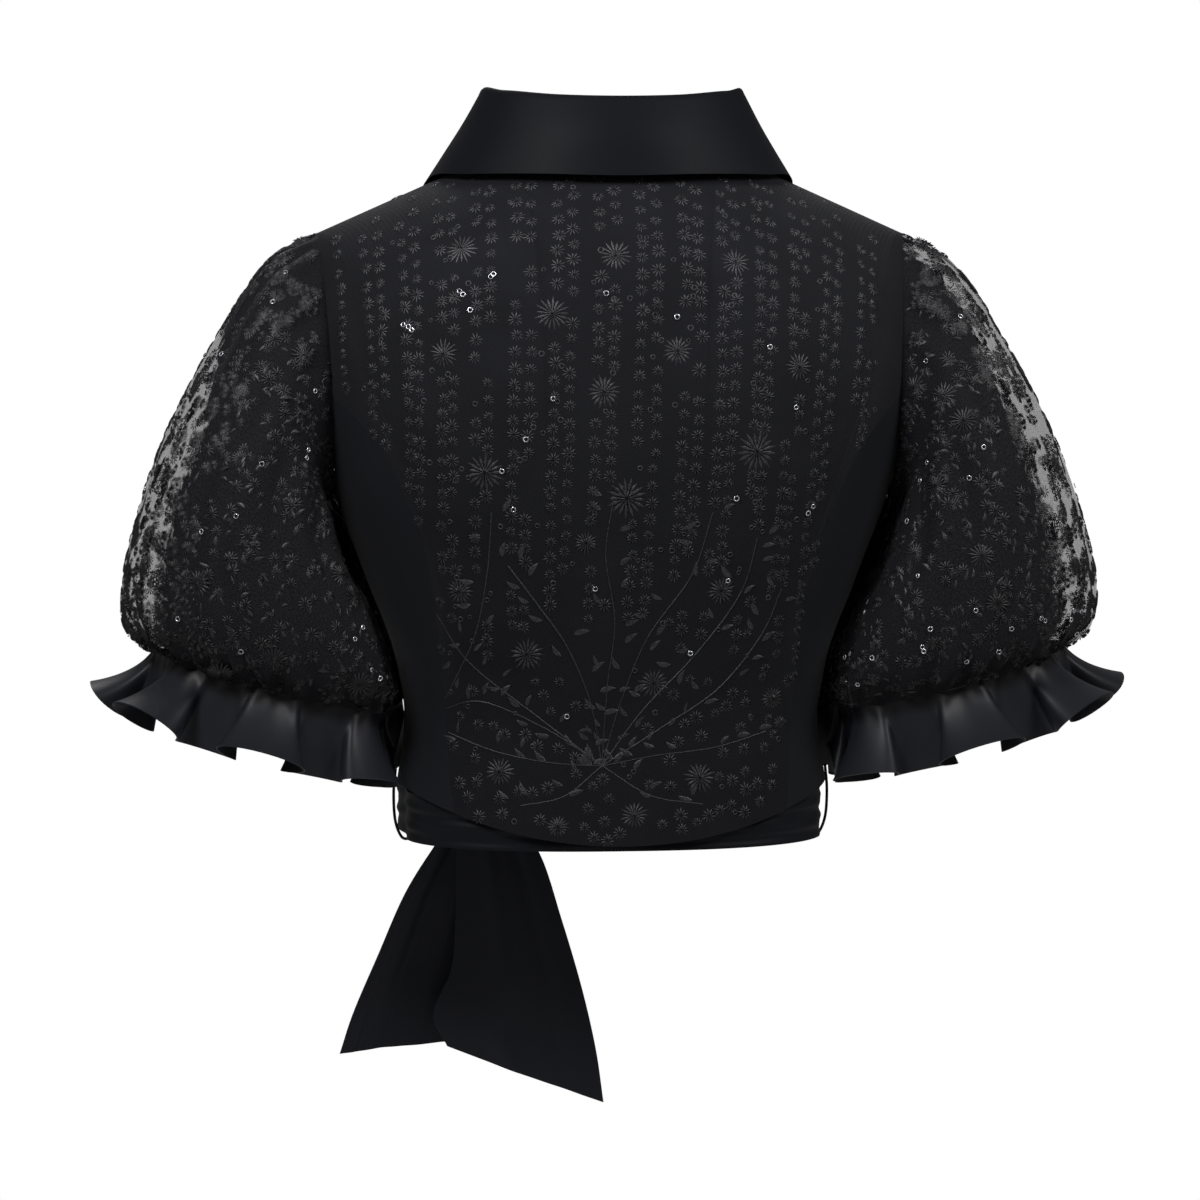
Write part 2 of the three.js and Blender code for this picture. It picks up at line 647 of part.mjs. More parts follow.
// Ruffle: hangs from the cuff ring, leans out, and waves more towards its free edge
function rufflePoint(turn, t) {
  const cuff = SLEEVE_SECTIONS[SLEEVE_SECTIONS.length - 1];
  const across = new THREE.Vector3(cuff.outX - cuff.inX, 0, cuff.outZ - cuff.inZ).normalize();
  const down = new THREE.Vector3(across.z, 0, -across.x);
  const radial = across.clone().multiplyScalar(Math.cos(turn)).setY(Math.sin(turn));
  const around = across.clone().multiplyScalar(-Math.sin(turn)).setY(Math.cos(turn));
  const end = Math.cos(turn) > 0 ? RUFFLE_FLARE.outside : RUFFLE_FLARE.inside;
  const flare = mix(end, RUFFLE_FLARE.beside, Math.sin(turn) ** 2);
  const phase = RUFFLE_FLUTES * turn + 0.35 * Math.sin(2 * turn + 1);
  const swing = RUFFLE_SWING * (1 + 0.12 * Math.sin(2 * turn + 0.7));
  const lean = Math.asin((flare + swing * Math.cos(phase)) / RUFFLE_DEPTH) * t ** 0.4;
  const length = RUFFLE_SEAM_GAP + RUFFLE_DEPTH * t;
  const gather = RUFFLE_GATHER * (1 - t) * Math.cos(phase);
  const shift = RUFFLE_ROUNDING * Math.sin(2 * phase) + RUFFLE_WIDENING * Math.sin(phase);
  const edge = sectionPoint(cuff, turn);
  edge.addScaledVector(down, length * Math.cos(lean));
  edge.addScaledVector(radial, length * Math.sin(lean) + gather);
  edge.addScaledVector(around, shift * t);
  return keepClear(edge, mix(SLEEVE_CLEARANCE, RUFFLE_CLEARANCE, ease(t)));
}

function ruffle() {
  const point = (u, v) => rufflePoint(TURN * u, v);
  return wall(point, RUFFLE_SIDES, 2, RUFFLE_WALL, true);
}

addPiece('sleeve_left', sleeve(), SHEER_LACE);
addPiece('sleeve_right', mirrored(sleeve()), SHEER_LACE);
addPiece('ruffle_left', ruffle(), SATIN);
addPiece('ruffle_right', mirrored(ruffle()), SATIN);

// Sash ring: outside the fronts, inside the back tail, and clear below the side hems
function sashRing(angle) {
  const climb = climbAt(angle, SASH_LEVEL);
  const place = torsoPoint(angle, climb);
  const degrees = THREE.MathUtils.radToDeg(Math.asin(Math.sin(angle)));
  const out = torsoNormal(angle, climb).setZ(0).normalize();
  return place.addScaledVector(out, lookup(SASH_OFFSETS, 'angle', 'offset', degrees));
}

function sash() {
  const point = (u, v) => sashRing(TURN * u).setZ(mix(SASH_BOTTOM, SASH_TOP, v));
  return wall(point, SASH_SIDES, 1, SASH_WALL, true);
}

addPiece('sash', sash(), SATIN);

// Knot, seated on the outside of the sash at the left front
const knotAngle = angleAt(KNOT.x, SASH_LEVEL, -1);
const knotOut = torsoNormal(knotAngle, climbAt(knotAngle, SASH_LEVEL)).setZ(0).normalize();
const knotPlace = sashRing(knotAngle).setZ(KNOT.z);
knotPlace.addScaledVector(knotOut, SASH_WALL / 2 + KNOT.halfDeep + KNOT.clear);

function knot() {
  const geometry = new THREE.SphereGeometry(1, 14, 8);
  geometry.scale(KNOT.halfWide, KNOT.halfDeep, KNOT.halfTall);
  geometry.rotateZ(Math.atan2(knotOut.x, -knotOut.y));
  geometry.translate(knotPlace.x, knotPlace.y, knotPlace.z);
  return geometry;
}

addPiece('sash_knot', knot(), SATIN);

// Tails: from the knot's underside down to their slanted ends
function tail(rows) {
  const point = (u, v) => {
    const read = (column) => alongRows(rows, column, v);
    const x = mix(read('leftX'), read('rightX'), u);
    const z = mix(read('leftZ'), read('rightZ'), u);
    return new THREE.Vector3(x, read('y') - read('fold') * Math.sin(Math.PI * u), z);
  };
  return wall(point, 6, 10, SASH_WALL, false);
}

addPiece('sash_tail_front', tail(TAIL_FRONT), SATIN);
addPiece('sash_tail_rear', tail(TAIL_REAR), SATIN);

function sashLoop() {
  const points = LOOP_ROUTE.map((stop) => new THREE.Vector3(stop.x, 0, stop.z));
  const route = new THREE.CatmullRomCurve3(points, false, 'centripetal');
  const section = new THREE.Shape();
  for (let i = 0; i < LOOP_SIDES; i += 1) {
    const angle = (TURN * i) / LOOP_SIDES;
    const corner = [LOOP_HALF * Math.cos(angle), LOOP_HALF * Math.sin(angle)];
    if (i === 0) {
      section.moveTo(...corner);
    } else {
      section.lineTo(...corner);
    }
  }
  const options = { steps: LOOP_STEPS, extrudePath: route, bevelEnabled: false };
  return new THREE.ExtrudeGeometry(section, options);
}

addPiece('sash_loop_left', facingOut(indexed(sashLoop())), LOOP_THREAD);
addPiece('sash_loop_right', mirrored(indexed(sashLoop())), LOOP_THREAD);

export default top;
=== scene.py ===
# The looks of the lace top: cloth shells, embroidery, materials, floor, light and camera.
# Lengths in the tables are millimetres in the frame of the model; meshes are made in metres.
import math

import bmesh
import bpy
import numpy as np
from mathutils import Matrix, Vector


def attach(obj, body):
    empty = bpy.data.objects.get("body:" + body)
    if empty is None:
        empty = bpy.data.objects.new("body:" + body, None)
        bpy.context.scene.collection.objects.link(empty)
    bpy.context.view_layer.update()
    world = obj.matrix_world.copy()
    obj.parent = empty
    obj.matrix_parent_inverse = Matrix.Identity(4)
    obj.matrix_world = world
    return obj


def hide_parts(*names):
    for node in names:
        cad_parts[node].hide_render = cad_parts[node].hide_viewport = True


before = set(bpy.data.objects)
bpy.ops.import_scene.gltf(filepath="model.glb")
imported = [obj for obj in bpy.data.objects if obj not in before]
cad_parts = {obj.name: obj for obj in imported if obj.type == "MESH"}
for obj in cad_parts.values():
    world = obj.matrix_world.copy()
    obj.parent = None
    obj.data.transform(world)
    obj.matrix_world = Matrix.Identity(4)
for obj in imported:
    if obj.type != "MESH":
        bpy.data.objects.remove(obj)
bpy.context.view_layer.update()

MM = 0.001
TURN = 2 * math.pi
rng = np.random.default_rng(7)


# Camera: the photograph looks at the back, slightly from the wearer's left and from above
AZIMUTH = math.radians(175)
ELEVATION = math.radians(5)
DISTANCE = 2.6
AIM = Vector((0.007, 0.0, -0.275))
FRAME_WIDTH = 0.744
SENSOR = 36.0


def add_object(name, data):
    obj = bpy.data.objects.new(name, data)
    bpy.context.scene.collection.objects.link(obj)
    return obj


def make_camera():
    data = bpy.data.cameras.new("camera")
    data.sensor_width = SENSOR
    data.lens = SENSOR * DISTANCE / FRAME_WIDTH
    data.clip_end = 50
    camera = add_object("camera", data)
    flat = math.cos(ELEVATION)
    back = Vector((math.sin(AZIMUTH) * flat, -math.cos(AZIMUTH) * flat, math.sin(ELEVATION)))
    camera.location = AIM + back * DISTANCE
    camera.rotation_euler = back.to_track_quat("Z", "Y").to_euler()
    bpy.context.scene.camera = camera


make_camera()


# Tables with named columns, and smooth curves through them
def table(columns, *rows):
    return {name: np.array(values, float) for name, values in zip(columns.split(), zip(*rows))}


def table_row(rows, index):
    return {name: values[index] for name, values in rows.items()}


def mix(a, b, t):
    return a + (b - a) * t


def ease(t):
    t = np.clip(t, 0, 1)
    return t * t * (3 - 2 * t)


def hump(away, width):
    return np.exp(-((away / width) ** 2))


def faded(t, start, end, fade_in, fade_out):
    """Nothing outside start and end, and whole between the two fades."""
    return ease((t - start) / fade_in) * ease((end - t) / fade_out)


def lookup(rows, key, column, at):
    keys, values = rows[key], rows[column]
    if keys[-1] < keys[0]:
        keys, values = keys[::-1], values[::-1]
    at = np.clip(at, keys[0], keys[-1])
    index = np.clip(np.searchsorted(keys, at, side="left") - 1, 0, len(keys) - 2)
    before = np.maximum(np.arange(len(keys)) - 1, 0)
    after = np.minimum(np.arange(len(keys)) + 1, len(keys) - 1)
    slope = (values[after] - values[before]) / (keys[after] - keys[before])
    span = keys[index + 1] - keys[index]
    t = (at - keys[index]) / span
    start = t * (1 - t) * (1 - t) * span * slope[index]
    end = t * t * (1 - t) * span * slope[index + 1]
    return mix(values[index], values[index + 1], t * t * (3 - 2 * t)) + start - end


def along_rows(values, t):
    rows = {"at": np.arange(len(values), dtype=float), "value": np.asarray(values, float)}
    return lookup(rows, "at", "value", np.asarray(t) * (len(values) - 1))


def points(x, y, z):
    return np.stack(np.broadcast_arrays(np.asarray(x, float), y, z), -1)


def lengths(line):
    """How far along a line each of its points lies."""
    return np.concatenate([[0], np.cumsum(np.linalg.norm(np.diff(line, axis=0), axis=1))])


def unit(vectors):
    return vectors / np.maximum(np.linalg.norm(vectors, axis=-1, keepdims=True), 1e-9)


# Neck, shoulders and torso, as in the solids
NECK_HALF = 71
NECK_DROP = 4
SHOULDER_TIP = 180
SHOULDER_SLOPE = 0.445
SHOULDER_SEAM_Y = -2
SHOULDER_ARCH = 100
RING_POWER = 2.4
TORSO_RINGS = table(
    "level half back front",
    (0, 186, 86, 90), (-60, 186, 96, 102), (-120, 186, 104, 116), (-150, 184, 106, 124),
    (-182, 177, 105, 129), (-206, 171, 102, 130), (-230, 163, 98, 125), (-259, 152, 93, 115),
    (-288, 141, 88, 105), (-318, 132, 84, 97), (-347, 128, 82, 93), (-389, 133, 86, 95),
    (-430, 140, 93, 99),
)
SIDE_HEM = -386
BACK_TAIL = 32
FRONT_DIP = 18
ARMHOLE_BOTTOM = -206
ARMHOLE_HALF = 171
ARMHOLE_SPREAD = 9
ARMHOLE_FRONT_CUT = 7
PRINCESS = table(
    "level out",
    (-146, 173), (-163, 156), (-189, 139), (-215, 127), (-240, 119), (-270, 113), (-323, 107),
    (-430, 99),
)
WRAP_REACH = 92
WRAP_BOW = 7
WRAP_LIFT = 4.1
WRAP_EASE = 26
SEAM_GAP = 0.02


def ring_unit(angle):
    c, s = np.cos(angle), np.sin(angle)
    scale = (abs(c) ** RING_POWER + abs(s) ** RING_POWER) ** (-1 / RING_POWER)
    return scale * c, scale * s


def shoulder_line(x):
    out = np.abs(x) / NECK_HALF
    crown = (NECK_HALF / 2) * (1 - out * out)
    return SHOULDER_SLOPE * np.where(out < 1, crown, NECK_HALF * (1 - out))


def ring_size(column, z):
    return lookup(TORSO_RINGS, "level", column, z)


def ring_depth(z, behind):
    return np.where(behind, ring_size("back", z), ring_size("front", z))


def torso_point(angle, climb):
    across, deep = ring_unit(angle)
    arch_start = shoulder_line(TORSO_RINGS["half"][0] * across) - SHOULDER_ARCH
    turn = np.maximum(0, climb) / SHOULDER_ARCH
    z = np.where(climb > 0, arch_start + SHOULDER_ARCH * np.sin(turn), arch_start + climb)
    y = mix(SHOULDER_SEAM_Y, ring_depth(z, deep >= 0) * deep, np.cos(turn))
    return points(ring_size("half", z) * across, y, z)


def climb_at(angle, z):
    across = ring_unit(angle)[0]
    rise = z - shoulder_line(TORSO_RINGS["half"][0] * across) + SHOULDER_ARCH
    arc = SHOULDER_ARCH * np.arcsin(np.clip(rise / SHOULDER_ARCH, 0, 1))
    return np.where(rise > 0, arc, rise)


def angle_at(x, z, side):
    across = np.minimum(1, np.abs(x) / ring_size("half", z))
    deep = (1 - across ** RING_POWER) ** (1 / RING_POWER)
    angle = np.arctan2(deep, across)
    return side * np.where(np.asarray(x) >= 0, angle, math.pi - angle)


def spot(x, z, side):
    angle = angle_at(x, z, side)
    return angle, climb_at(angle, z)


# The normal is taken a little below the shoulder seam, where back and front meet
LAST_NORMAL = 1.55


def torso_normal(angle, climb):
    climb = np.minimum(climb, SHOULDER_ARCH * LAST_NORMAL)
    along = torso_point(angle + 0.002, climb) - torso_point(angle - 0.002, climb)
    up = torso_point(angle, climb + 0.2) - torso_point(angle, climb - 0.2)
    return unit(np.cross(along, up))


TIP_LEVEL = float(shoulder_line(SHOULDER_TIP))
ARMHOLE_MIDDLE = (TIP_LEVEL + ARMHOLE_BOTTOM) / 2


def armhole_spot(turn):
    z = ARMHOLE_MIDDLE + (TIP_LEVEL - ARMHOLE_MIDDLE) * np.cos(turn)
    rise = (1 + np.cos(turn)) / 2
    side = np.where(np.sin(turn) >= -1e-9, 1, -1)
    cut = np.where(side < 0, ARMHOLE_FRONT_CUT * np.sin(turn) ** 2, 0)
    return spot(ARMHOLE_HALF + ARMHOLE_SPREAD * rise * rise - cut, z, side)


# Panels: a patch between four borders, each giving angle and climb for an array from 0 to 1
START = np.array(0.0)
END = np.array(1.0)


def patch(borders, u, v):
    bottom, upper, left, right = borders

    def blend(k):
        rows = mix(bottom(u)[k], upper(u)[k], v)
        sides = mix(left(v)[k], right(v)[k], u)
        low = mix(bottom(START)[k], bottom(END)[k], u)
        high = mix(upper(START)[k], upper(END)[k], u)
        return rows + sides - mix(low, high, v)

    return blend(0), blend(1)


def hem_spot(angle):
    across = ring_unit(angle)[0]
    dip = np.where(np.sin(angle) >= 0, BACK_TAIL, FRONT_DIP)
    return angle, climb_at(angle, SIDE_HEM - dip * (1 - across * across))


PRINCESS_TOP = PRINCESS["level"][0]
PRINCESS_FOOT = -398
PRINCESS_TURN = math.acos((PRINCESS_TOP - ARMHOLE_MIDDLE) / (TIP_LEVEL - ARMHOLE_MIDDLE))


def princess_spot(t):
    z = mix(PRINCESS_FOOT, PRINCESS_TOP, t)
    return spot(lookup(PRINCESS, "level", "out", z), z, 1)


PRINCESS_HEM_ANGLE = float(princess_spot(0.0)[0])


def neckline_spot(x):
    level = -NECK_DROP * np.sqrt(np.maximum(0, 1 - (x / NECK_HALF) ** 2))
    return spot(x, level, 1)


def shoulder_spot(t, side):
    x = mix(SHOULDER_TIP, NECK_HALF, t)
    angle = angle_at(x, shoulder_line(x), side)
    return angle, np.full_like(angle, SHOULDER_ARCH * math.pi / 2)


def choose(condition, first, second):
    return tuple(np.where(condition, a, b) for a, b in zip(first, second))


def flip_side(place):
    return math.pi - place[0], place[1]


BACK_PARTS = {"armhole": 5, "shoulder": 3, "neck": 4}
BACK_COLUMNS = sum(BACK_PARTS.values())


def back_top_half(t):
    column = t * BACK_COLUMNS
    past_armhole = column - BACK_PARTS["armhole"]
    past_shoulder = past_armhole - BACK_PARTS["shoulder"]
    turn = mix(PRINCESS_TURN, 0, np.clip(column / BACK_PARTS["armhole"], 0, 1))
    shoulder = shoulder_spot(np.clip(past_armhole / BACK_PARTS["shoulder"], 0, 1), 1)
    quarter = np.clip(past_shoulder / BACK_PARTS["neck"], 0, 1) * math.pi / 2
    top = choose(past_shoulder > 0, neckline_spot(NECK_HALF * np.cos(quarter)), shoulder)
    return choose(past_armhole <= 0, armhole_spot(turn), top)


def back_borders():
    def upper(t):
        half = back_top_half(np.minimum(2 * t, 2 - 2 * t))
        return choose(t <= 0.5, half, flip_side(half))

    def bottom(t):
        return hem_spot(mix(PRINCESS_HEM_ANGLE, math.pi - PRINCESS_HEM_ANGLE, t))

    def left(t):
        return choose(t <= 0, bottom(START), princess_spot(t))

    return bottom, upper, left, lambda t: flip_side(left(t))


def side_line(t):
    foot = float(climb_at(0.0, SIDE_HEM))
    top = float(climb_at(0.0, ARMHOLE_BOTTOM))
    climb = mix(foot, top, t)
    return np.zeros_like(climb), climb


def side_borders():
    def bottom(t):
        return hem_spot(PRINCESS_HEM_ANGLE * t)

    def upper(t):
        return armhole_spot(mix(math.pi, PRINCESS_TURN, t))

    def right(t):
        return choose(t <= 0, bottom(END), princess_spot(t))

    return bottom, upper, side_line, right


def wrap_x(z):
    down = z / (SIDE_HEM - FRONT_DIP)
    bow = WRAP_BOW * np.sin(math.pi * np.clip(down, 0, 1))
    return mix(NECK_HALF, -WRAP_REACH, down) - bow


FRONT_PARTS = {"armhole": 8, "shoulder": 4}
FRONT_COLUMNS = sum(FRONT_PARTS.values())


def front_borders():
    hem_end = float(angle_at(-WRAP_REACH, SIDE_HEM - FRONT_DIP, -1))
    hem_level = float(torso_point(*hem_spot(hem_end))[..., 2])

    def bottom(t):
        return hem_spot(hem_end * t)

    def upper(t):
        column = t * FRONT_COLUMNS
        past = column - FRONT_PARTS["armhole"]
        turn = mix(math.pi, TURN, np.clip(column / FRONT_PARTS["armhole"], 0, 1)) + 1e-6
        shoulder = shoulder_spot(np.clip(past / FRONT_PARTS["shoulder"], 0, 1), -1)
        return choose(past <= 0, armhole_spot(turn), shoulder)

    def right(t):
        z = mix(hem_level, 0, np.sin(t * math.pi / 2))
        edge = choose(t <= 0, bottom(END), spot(wrap_x(z), z, -1))
        return choose(t >= 1, upper(END), edge)

    return bottom, upper, side_line, right


def overlap_lift(place):
    past = -wrap_x(place[..., 2]) - place[..., 0]
    return WRAP_LIFT * ease((past + 2 * WRAP_EASE) / WRAP_EASE)


# Panel surfaces: each takes u and v and gives the cloth's middle and its outward direction.
# A row of creases is a soft trough: its middle, tilt, length, width and depth. The rough sizes of
# the panels only turn the seam gap into a share of them
PANEL_WIDTHS = {"back": 90, "side": 55, "front": 150}
PANEL_HEIGHT = 160


def crease_relief(rows, place):
    total = np.zeros(place.shape[:-1])
    for x, z, tilt, length, width, depth in zip(*rows.values()):
        turn = math.radians(tilt)
        dx, dz = place[..., 0] - x, place[..., 2] - z
        along = dx * math.cos(turn) + dz * math.sin(turn)
        across = dz * math.cos(turn) - dx * math.sin(turn)
        fade = ease(1 - np.abs(along) / (length / 2))
        total -= depth * fade * hump(across, width)
    return total


def panel_surface(borders, width, crease_rows, lift=None):
    def inset(t, size):
        return mix(SEAM_GAP / size, 1 - SEAM_GAP / size, t)

    def surface(u, v):
        angle, climb = patch(borders, inset(u, width), inset(v, PANEL_HEIGHT))
        out = torso_normal(angle, climb)
        place = torso_point(angle, climb)
        if lift:
            place = place + out * lift(place)[..., None]
        return place + out * crease_relief(crease_rows, place)[..., None], out

    return surface


BACK_CREASES = table(
    "x z tilt length width depth",
    (64, -318, 24, 92, 9, 1.1), (-58, -330, -20, 84, 10, 0.9), (20, -352, 8, 100, 8, 0.7),
    (-84, -262, -62, 90, 9, 0.8), (88, -250, 66, 76, 8, 0.9), (118, -118, 74, 88, 11, 1.4),
    (-121, -126, -76, 96, 10, 1.3), (138, -92, 60, 52, 7, 0.8), (4, -58, 4, 120, 10, 0.8),
    (-30, -388, -12, 70, 7, 0.6),
)
SIDE_CREASES = table(
    "x z tilt length width depth",
    (122, -352, 78, 60, 8, 0.9), (137, -300, 62, 74, 9, 1.0), (150, -246, 70, 66, 8, 0.6),
)
FRONT_CREASES = table(
    "x z tilt length width depth",
    (70, -250, 40, 120, 11, 1.8), (96, -205, 52, 92, 9, 1.4), (30, -330, 24, 120, 9, 1.5),
    (88, -318, 30, 80, 8, 1.2), (118, -140, 66, 80, 9, 1.0), (-20, -362, 18, 100, 8, 1.2),
    (60, -368, 12, 74, 7, 1.0),
)


# Collar: evenly spaced stations from the middle of the back to the front end
COLLAR_STATIONS = {
    "fold": ((0, 55, 32), (37, 48, 33), (67, 28, 36), (79, 0, 36), (72, -54, 6), (56, -84, -30),
             (38.5, -107, -69)),
    "mid": ((0, 66, 12), (44, 58, 12), (79, 35, 13), (95, 1, 12), (96, -52, -10), (86, -83, -45),
            (68, -110, -88)),
    "edge": ((0, 73, -14), (49, 65, -13), (90, 39, -13), (110, 0, -14), (116, -48, -32),
             (113, -80, -66), (95, -109, -112)),
}
COLLAR_FRONT_END = -74
COLLAR_SEAM_LIFT = 1.1
COLLAR_SEAM_IN = 1.2
STAND_TOP_DROP = 0.6
ROLL_IN = {"in": 1.9, "down": 1.2}
ROLL_CREST = {"out": 0.6, "up": 1.6}
ROLL_OUT = {"out": 3.4, "down": 1.4}
BELLY_WAVE = 0.9
EDGE_WAVE = 1.1
FALL_STOPS = (0, 0.07, 0.14, 0.55, 1)


def collar_seam(t):
    back = spot(NECK_HALF * np.sin(math.pi * t), -NECK_DROP * np.cos(math.pi * t), 1)
    z = COLLAR_FRONT_END * np.clip(2 * t - 1, 0, 1) ** 1.2
    return torso_point(*choose(t <= 0.5, back, spot(wrap_x(z), z, -1)))


def collar_line(t, kind):
    half = np.array(COLLAR_STATIONS[kind], float)
    whole = np.concatenate([half[:0:-1] * (-1, 1, 1), half])
    return np.stack([along_rows(values, (1 + t) / 2) for values in whole.T], -1)


def through(stops, keys, t):
    """Smooth curve through stops, one list of points for each value of t."""
    keys = np.asarray(keys, float)
    flat = np.stack([np.broadcast_to(stop, t.shape + (3,)).reshape(-1, 3) for stop in stops])
    at = t.ravel()
    last = len(keys) - 1
    index = np.clip(np.searchsorted(keys, at, side="left") - 1, 0, last - 1)
    each = np.arange(at.size)

    def slope(i):
        low, high = np.maximum(i - 1, 0), np.minimum(i + 1, last)
        return (flat[high, each] - flat[low, each]) / (keys[high] - keys[low])[:, None]

    span = (keys[index + 1] - keys[index])[:, None]
    s = (at - keys[index])[:, None] / span
    bend = s * (1 - s) ** 2 * span * slope(index) - s * s * (1 - s) * span * slope(index + 1)
    line = mix(flat[index, each], flat[index + 1, each], s * s * (3 - 2 * s)) + bend
    return line.reshape(t.shape + (3,))


def both_sides(half):
    def surface(u, v):
        place = half(np.abs(2 * u - 1), v)
        place[..., 0] *= np.where(u < 0.5, 1, -1)
        return place, None

    return surface


def collar_stand(t, v):
    seam, fold = collar_seam(t), collar_line(t, "fold")
    rise = unit(fold - seam)
    seam = seam + rise * COLLAR_SEAM_LIFT
    seam[..., 0] -= COLLAR_SEAM_IN * ease(6 * t - 2.6)
    return mix(seam, fold - rise * STAND_TOP_DROP, v[..., None])


def square_to(vector, *lines):
    for line in lines:
        vector = vector - line * np.sum(vector * line, -1, keepdims=True)
    return unit(vector)


def collar_fall(t, v):
    fold, middle, edge = (collar_line(t, kind) for kind in ("fold", "mid", "edge"))
    along = unit(collar_line(np.minimum(1, t + 0.01), "fold") - collar_line(t - 0.01, "fold"))
    rise = square_to(fold - collar_seam(t), along)
    out = square_to(middle - fold, along, rise)
    inner = fold - out * ROLL_IN["in"] - rise * ROLL_IN["down"]
    crest = fold + out * ROLL_CREST["out"] + rise * ROLL_CREST["up"]
    shoulder = fold + out * ROLL_OUT["out"] - rise * ROLL_OUT["down"]
    belly = middle + out * BELLY_WAVE * np.cos(9 * t)[..., None]
    hem = edge + out * (EDGE_WAVE * np.cos(11 * t + 0.8) * ease(3 * t))[..., None]
    return through([inner, crest, shoulder, belly, hem], FALL_STOPS, v)


# Sleeve sections from armhole to cuff: outer and inner point in the front view, half depth, and
# how far the inner front reaches round the torso
SLEEVE_SECTIONS = table(
    "out_x out_z in_x in_z half_depth hug",
    (212, -68, 177, -215, 66, 0), (243, -113, 173, -232, 77, 20), (275, -174, 166, -252, 85, 32),
    (295, -233, 151, -278, 89, 38), (302, -268, 141, -306, 88, 42), (298, -290, 137, -327, 81, 42),
    (281, -303, 141, -343, 65, 28),
)
SLEEVE_ROWS = len(SLEEVE_SECTIONS["hug"])
SLEEVE_CENTRE_Y = 2
SLEEVE_CLEARANCE = 4
BACK_HUG_SHARE = 0.3
ARMHOLE_STEP = 0.5
ARMHOLE_STEP_SWING = 0.35
CAP_PLEATS = 19
CAP_PLEAT_DEPTH = 1.5
CAP_PLEAT_REACH = (0, 0.34, 0.05, 0.3)
CUFF_GATHERS = 31
CUFF_GATHER_DEPTH = 2.1
CUFF_GATHER_REACH = (0.72, 1.002, 0.2, 0.03)

# Long soft folds of the sleeve: turn in degrees (0 outside, 90 at the back, 180 inside), reach
# from and to along the sleeve, half width in degrees and depth. A low ridge lies beside each
FOLD_FADE = 0.14
FOLD_DRIFT = 4
RIDGE_HEIGHT = 0.45
RIDGE_BESIDE = 2.1
SLEEVE_FOLDS = table(
    "turn start end width depth",
    (78, 0.08, 0.72, 5, 2.0), (104, 0.2, 0.95, 6, 2.6), (128, 0.05, 0.6, 5, 1.9),
    (56, 0.3, 0.98, 6, 2.3), (150, 0.35, 1.0, 6, 2.4), (30, 0.12, 0.66, 5, 1.7),
    (8, 0.4, 1.0, 5, 2.0), (-20, 0.1, 0.7, 5, 1.9), (-48, 0.3, 0.96, 6, 2.4),
    (-76, 0.06, 0.75, 5, 2.1), (-103, 0.25, 1.0, 6, 2.4), (-131, 0.1, 0.62, 5, 1.7),
    (-158, 0.4, 0.98, 6, 2.0),
)


def keep_clear(place, clearance):
    """Pushes places that come too near the torso away from its middle."""
    half = ring_size("half", place[..., 2])
    depth = ring_depth(place[..., 2], place[..., 1] >= 0)
    reach = (np.abs(place[..., 0]) / half) ** RING_POWER + np.abs(place[..., 1] / depth) ** RING_POWER
    scale = reach ** (1 / RING_POWER)
    grow = np.maximum(1, (1 + clearance / half) / scale)
    return place * points(grow, grow, 1)


def section_point(row, turn):
    section = table_row(SLEEVE_SECTIONS, row)
    inward = (1 - np.cos(turn)) / 2
    share = np.where(np.sin(turn) > 0, BACK_HUG_SHARE, 1)
    reach = section["hug"] * share * np.where(inward > 0.5, np.sin(2 * turn) ** 2, 0)
    x = mix(section["out_x"], section["in_x"], inward) - reach
    z = mix(section["out_z"], section["in_z"], inward)
    place = points(x, SLEEVE_CENTRE_Y + section["half_depth"] * np.sin(turn), z)
    return keep_clear(place, SLEEVE_CLEARANCE) if section["hug"] > 0 else place


def sleeve_base(turn, t):
    start = torso_point(*armhole_spot(turn % TURN))
    start[..., 0] += ARMHOLE_STEP - ARMHOLE_STEP_SWING * np.cos(turn)
    rows = [start] + [section_point(row, turn) for row in range(SLEEVE_ROWS)]
    return through(rows, np.arange(SLEEVE_ROWS + 1) / SLEEVE_ROWS, t)


def sleeve_folds(turn, t):
    """How far the folds, the cap's pleats and the cuff's gathers lift the sleeve."""
    total = np.zeros_like(turn)
    for at, start, end, width, depth in zip(*SLEEVE_FOLDS.values()):
        drift = FOLD_DRIFT * np.sin(5 * t + at)
        away = (np.degrees(turn) - at - drift + 180) % 360 - 180
        ridge = RIDGE_HEIGHT * hump(away - RIDGE_BESIDE * width, width)
        total -= depth * faded(t, start, end, FOLD_FADE, FOLD_FADE) * (hump(away, width) - ridge)
    cap = faded(t, *CAP_PLEAT_REACH) * ease(0.35 + np.cos(turn))
    total += CAP_PLEAT_DEPTH * cap * np.cos(CAP_PLEATS * turn + 1.3 * np.sin(3 * turn))
    cuff = faded(t, *CUFF_GATHER_REACH)
    total += CUFF_GATHER_DEPTH * cuff * np.cos(CUFF_GATHERS * turn + 1.7 * np.sin(4 * turn + 1))
    return total


def outward_of(function, turn, t):
    step = 0.002
    along = function(turn + step, t) - function(turn - step, t)
    down = function(turn, np.minimum(1, t + step)) - function(turn, np.maximum(0, t - step))
    return unit(np.cross(down, along))


def sleeve_point(turn, t):
    base = sleeve_base(turn, t)
    return base + outward_of(sleeve_base, turn, t) * sleeve_folds(turn, t)[..., None]


def sleeve_surface(u, v):
    return sleeve_point(TURN * u, v), None


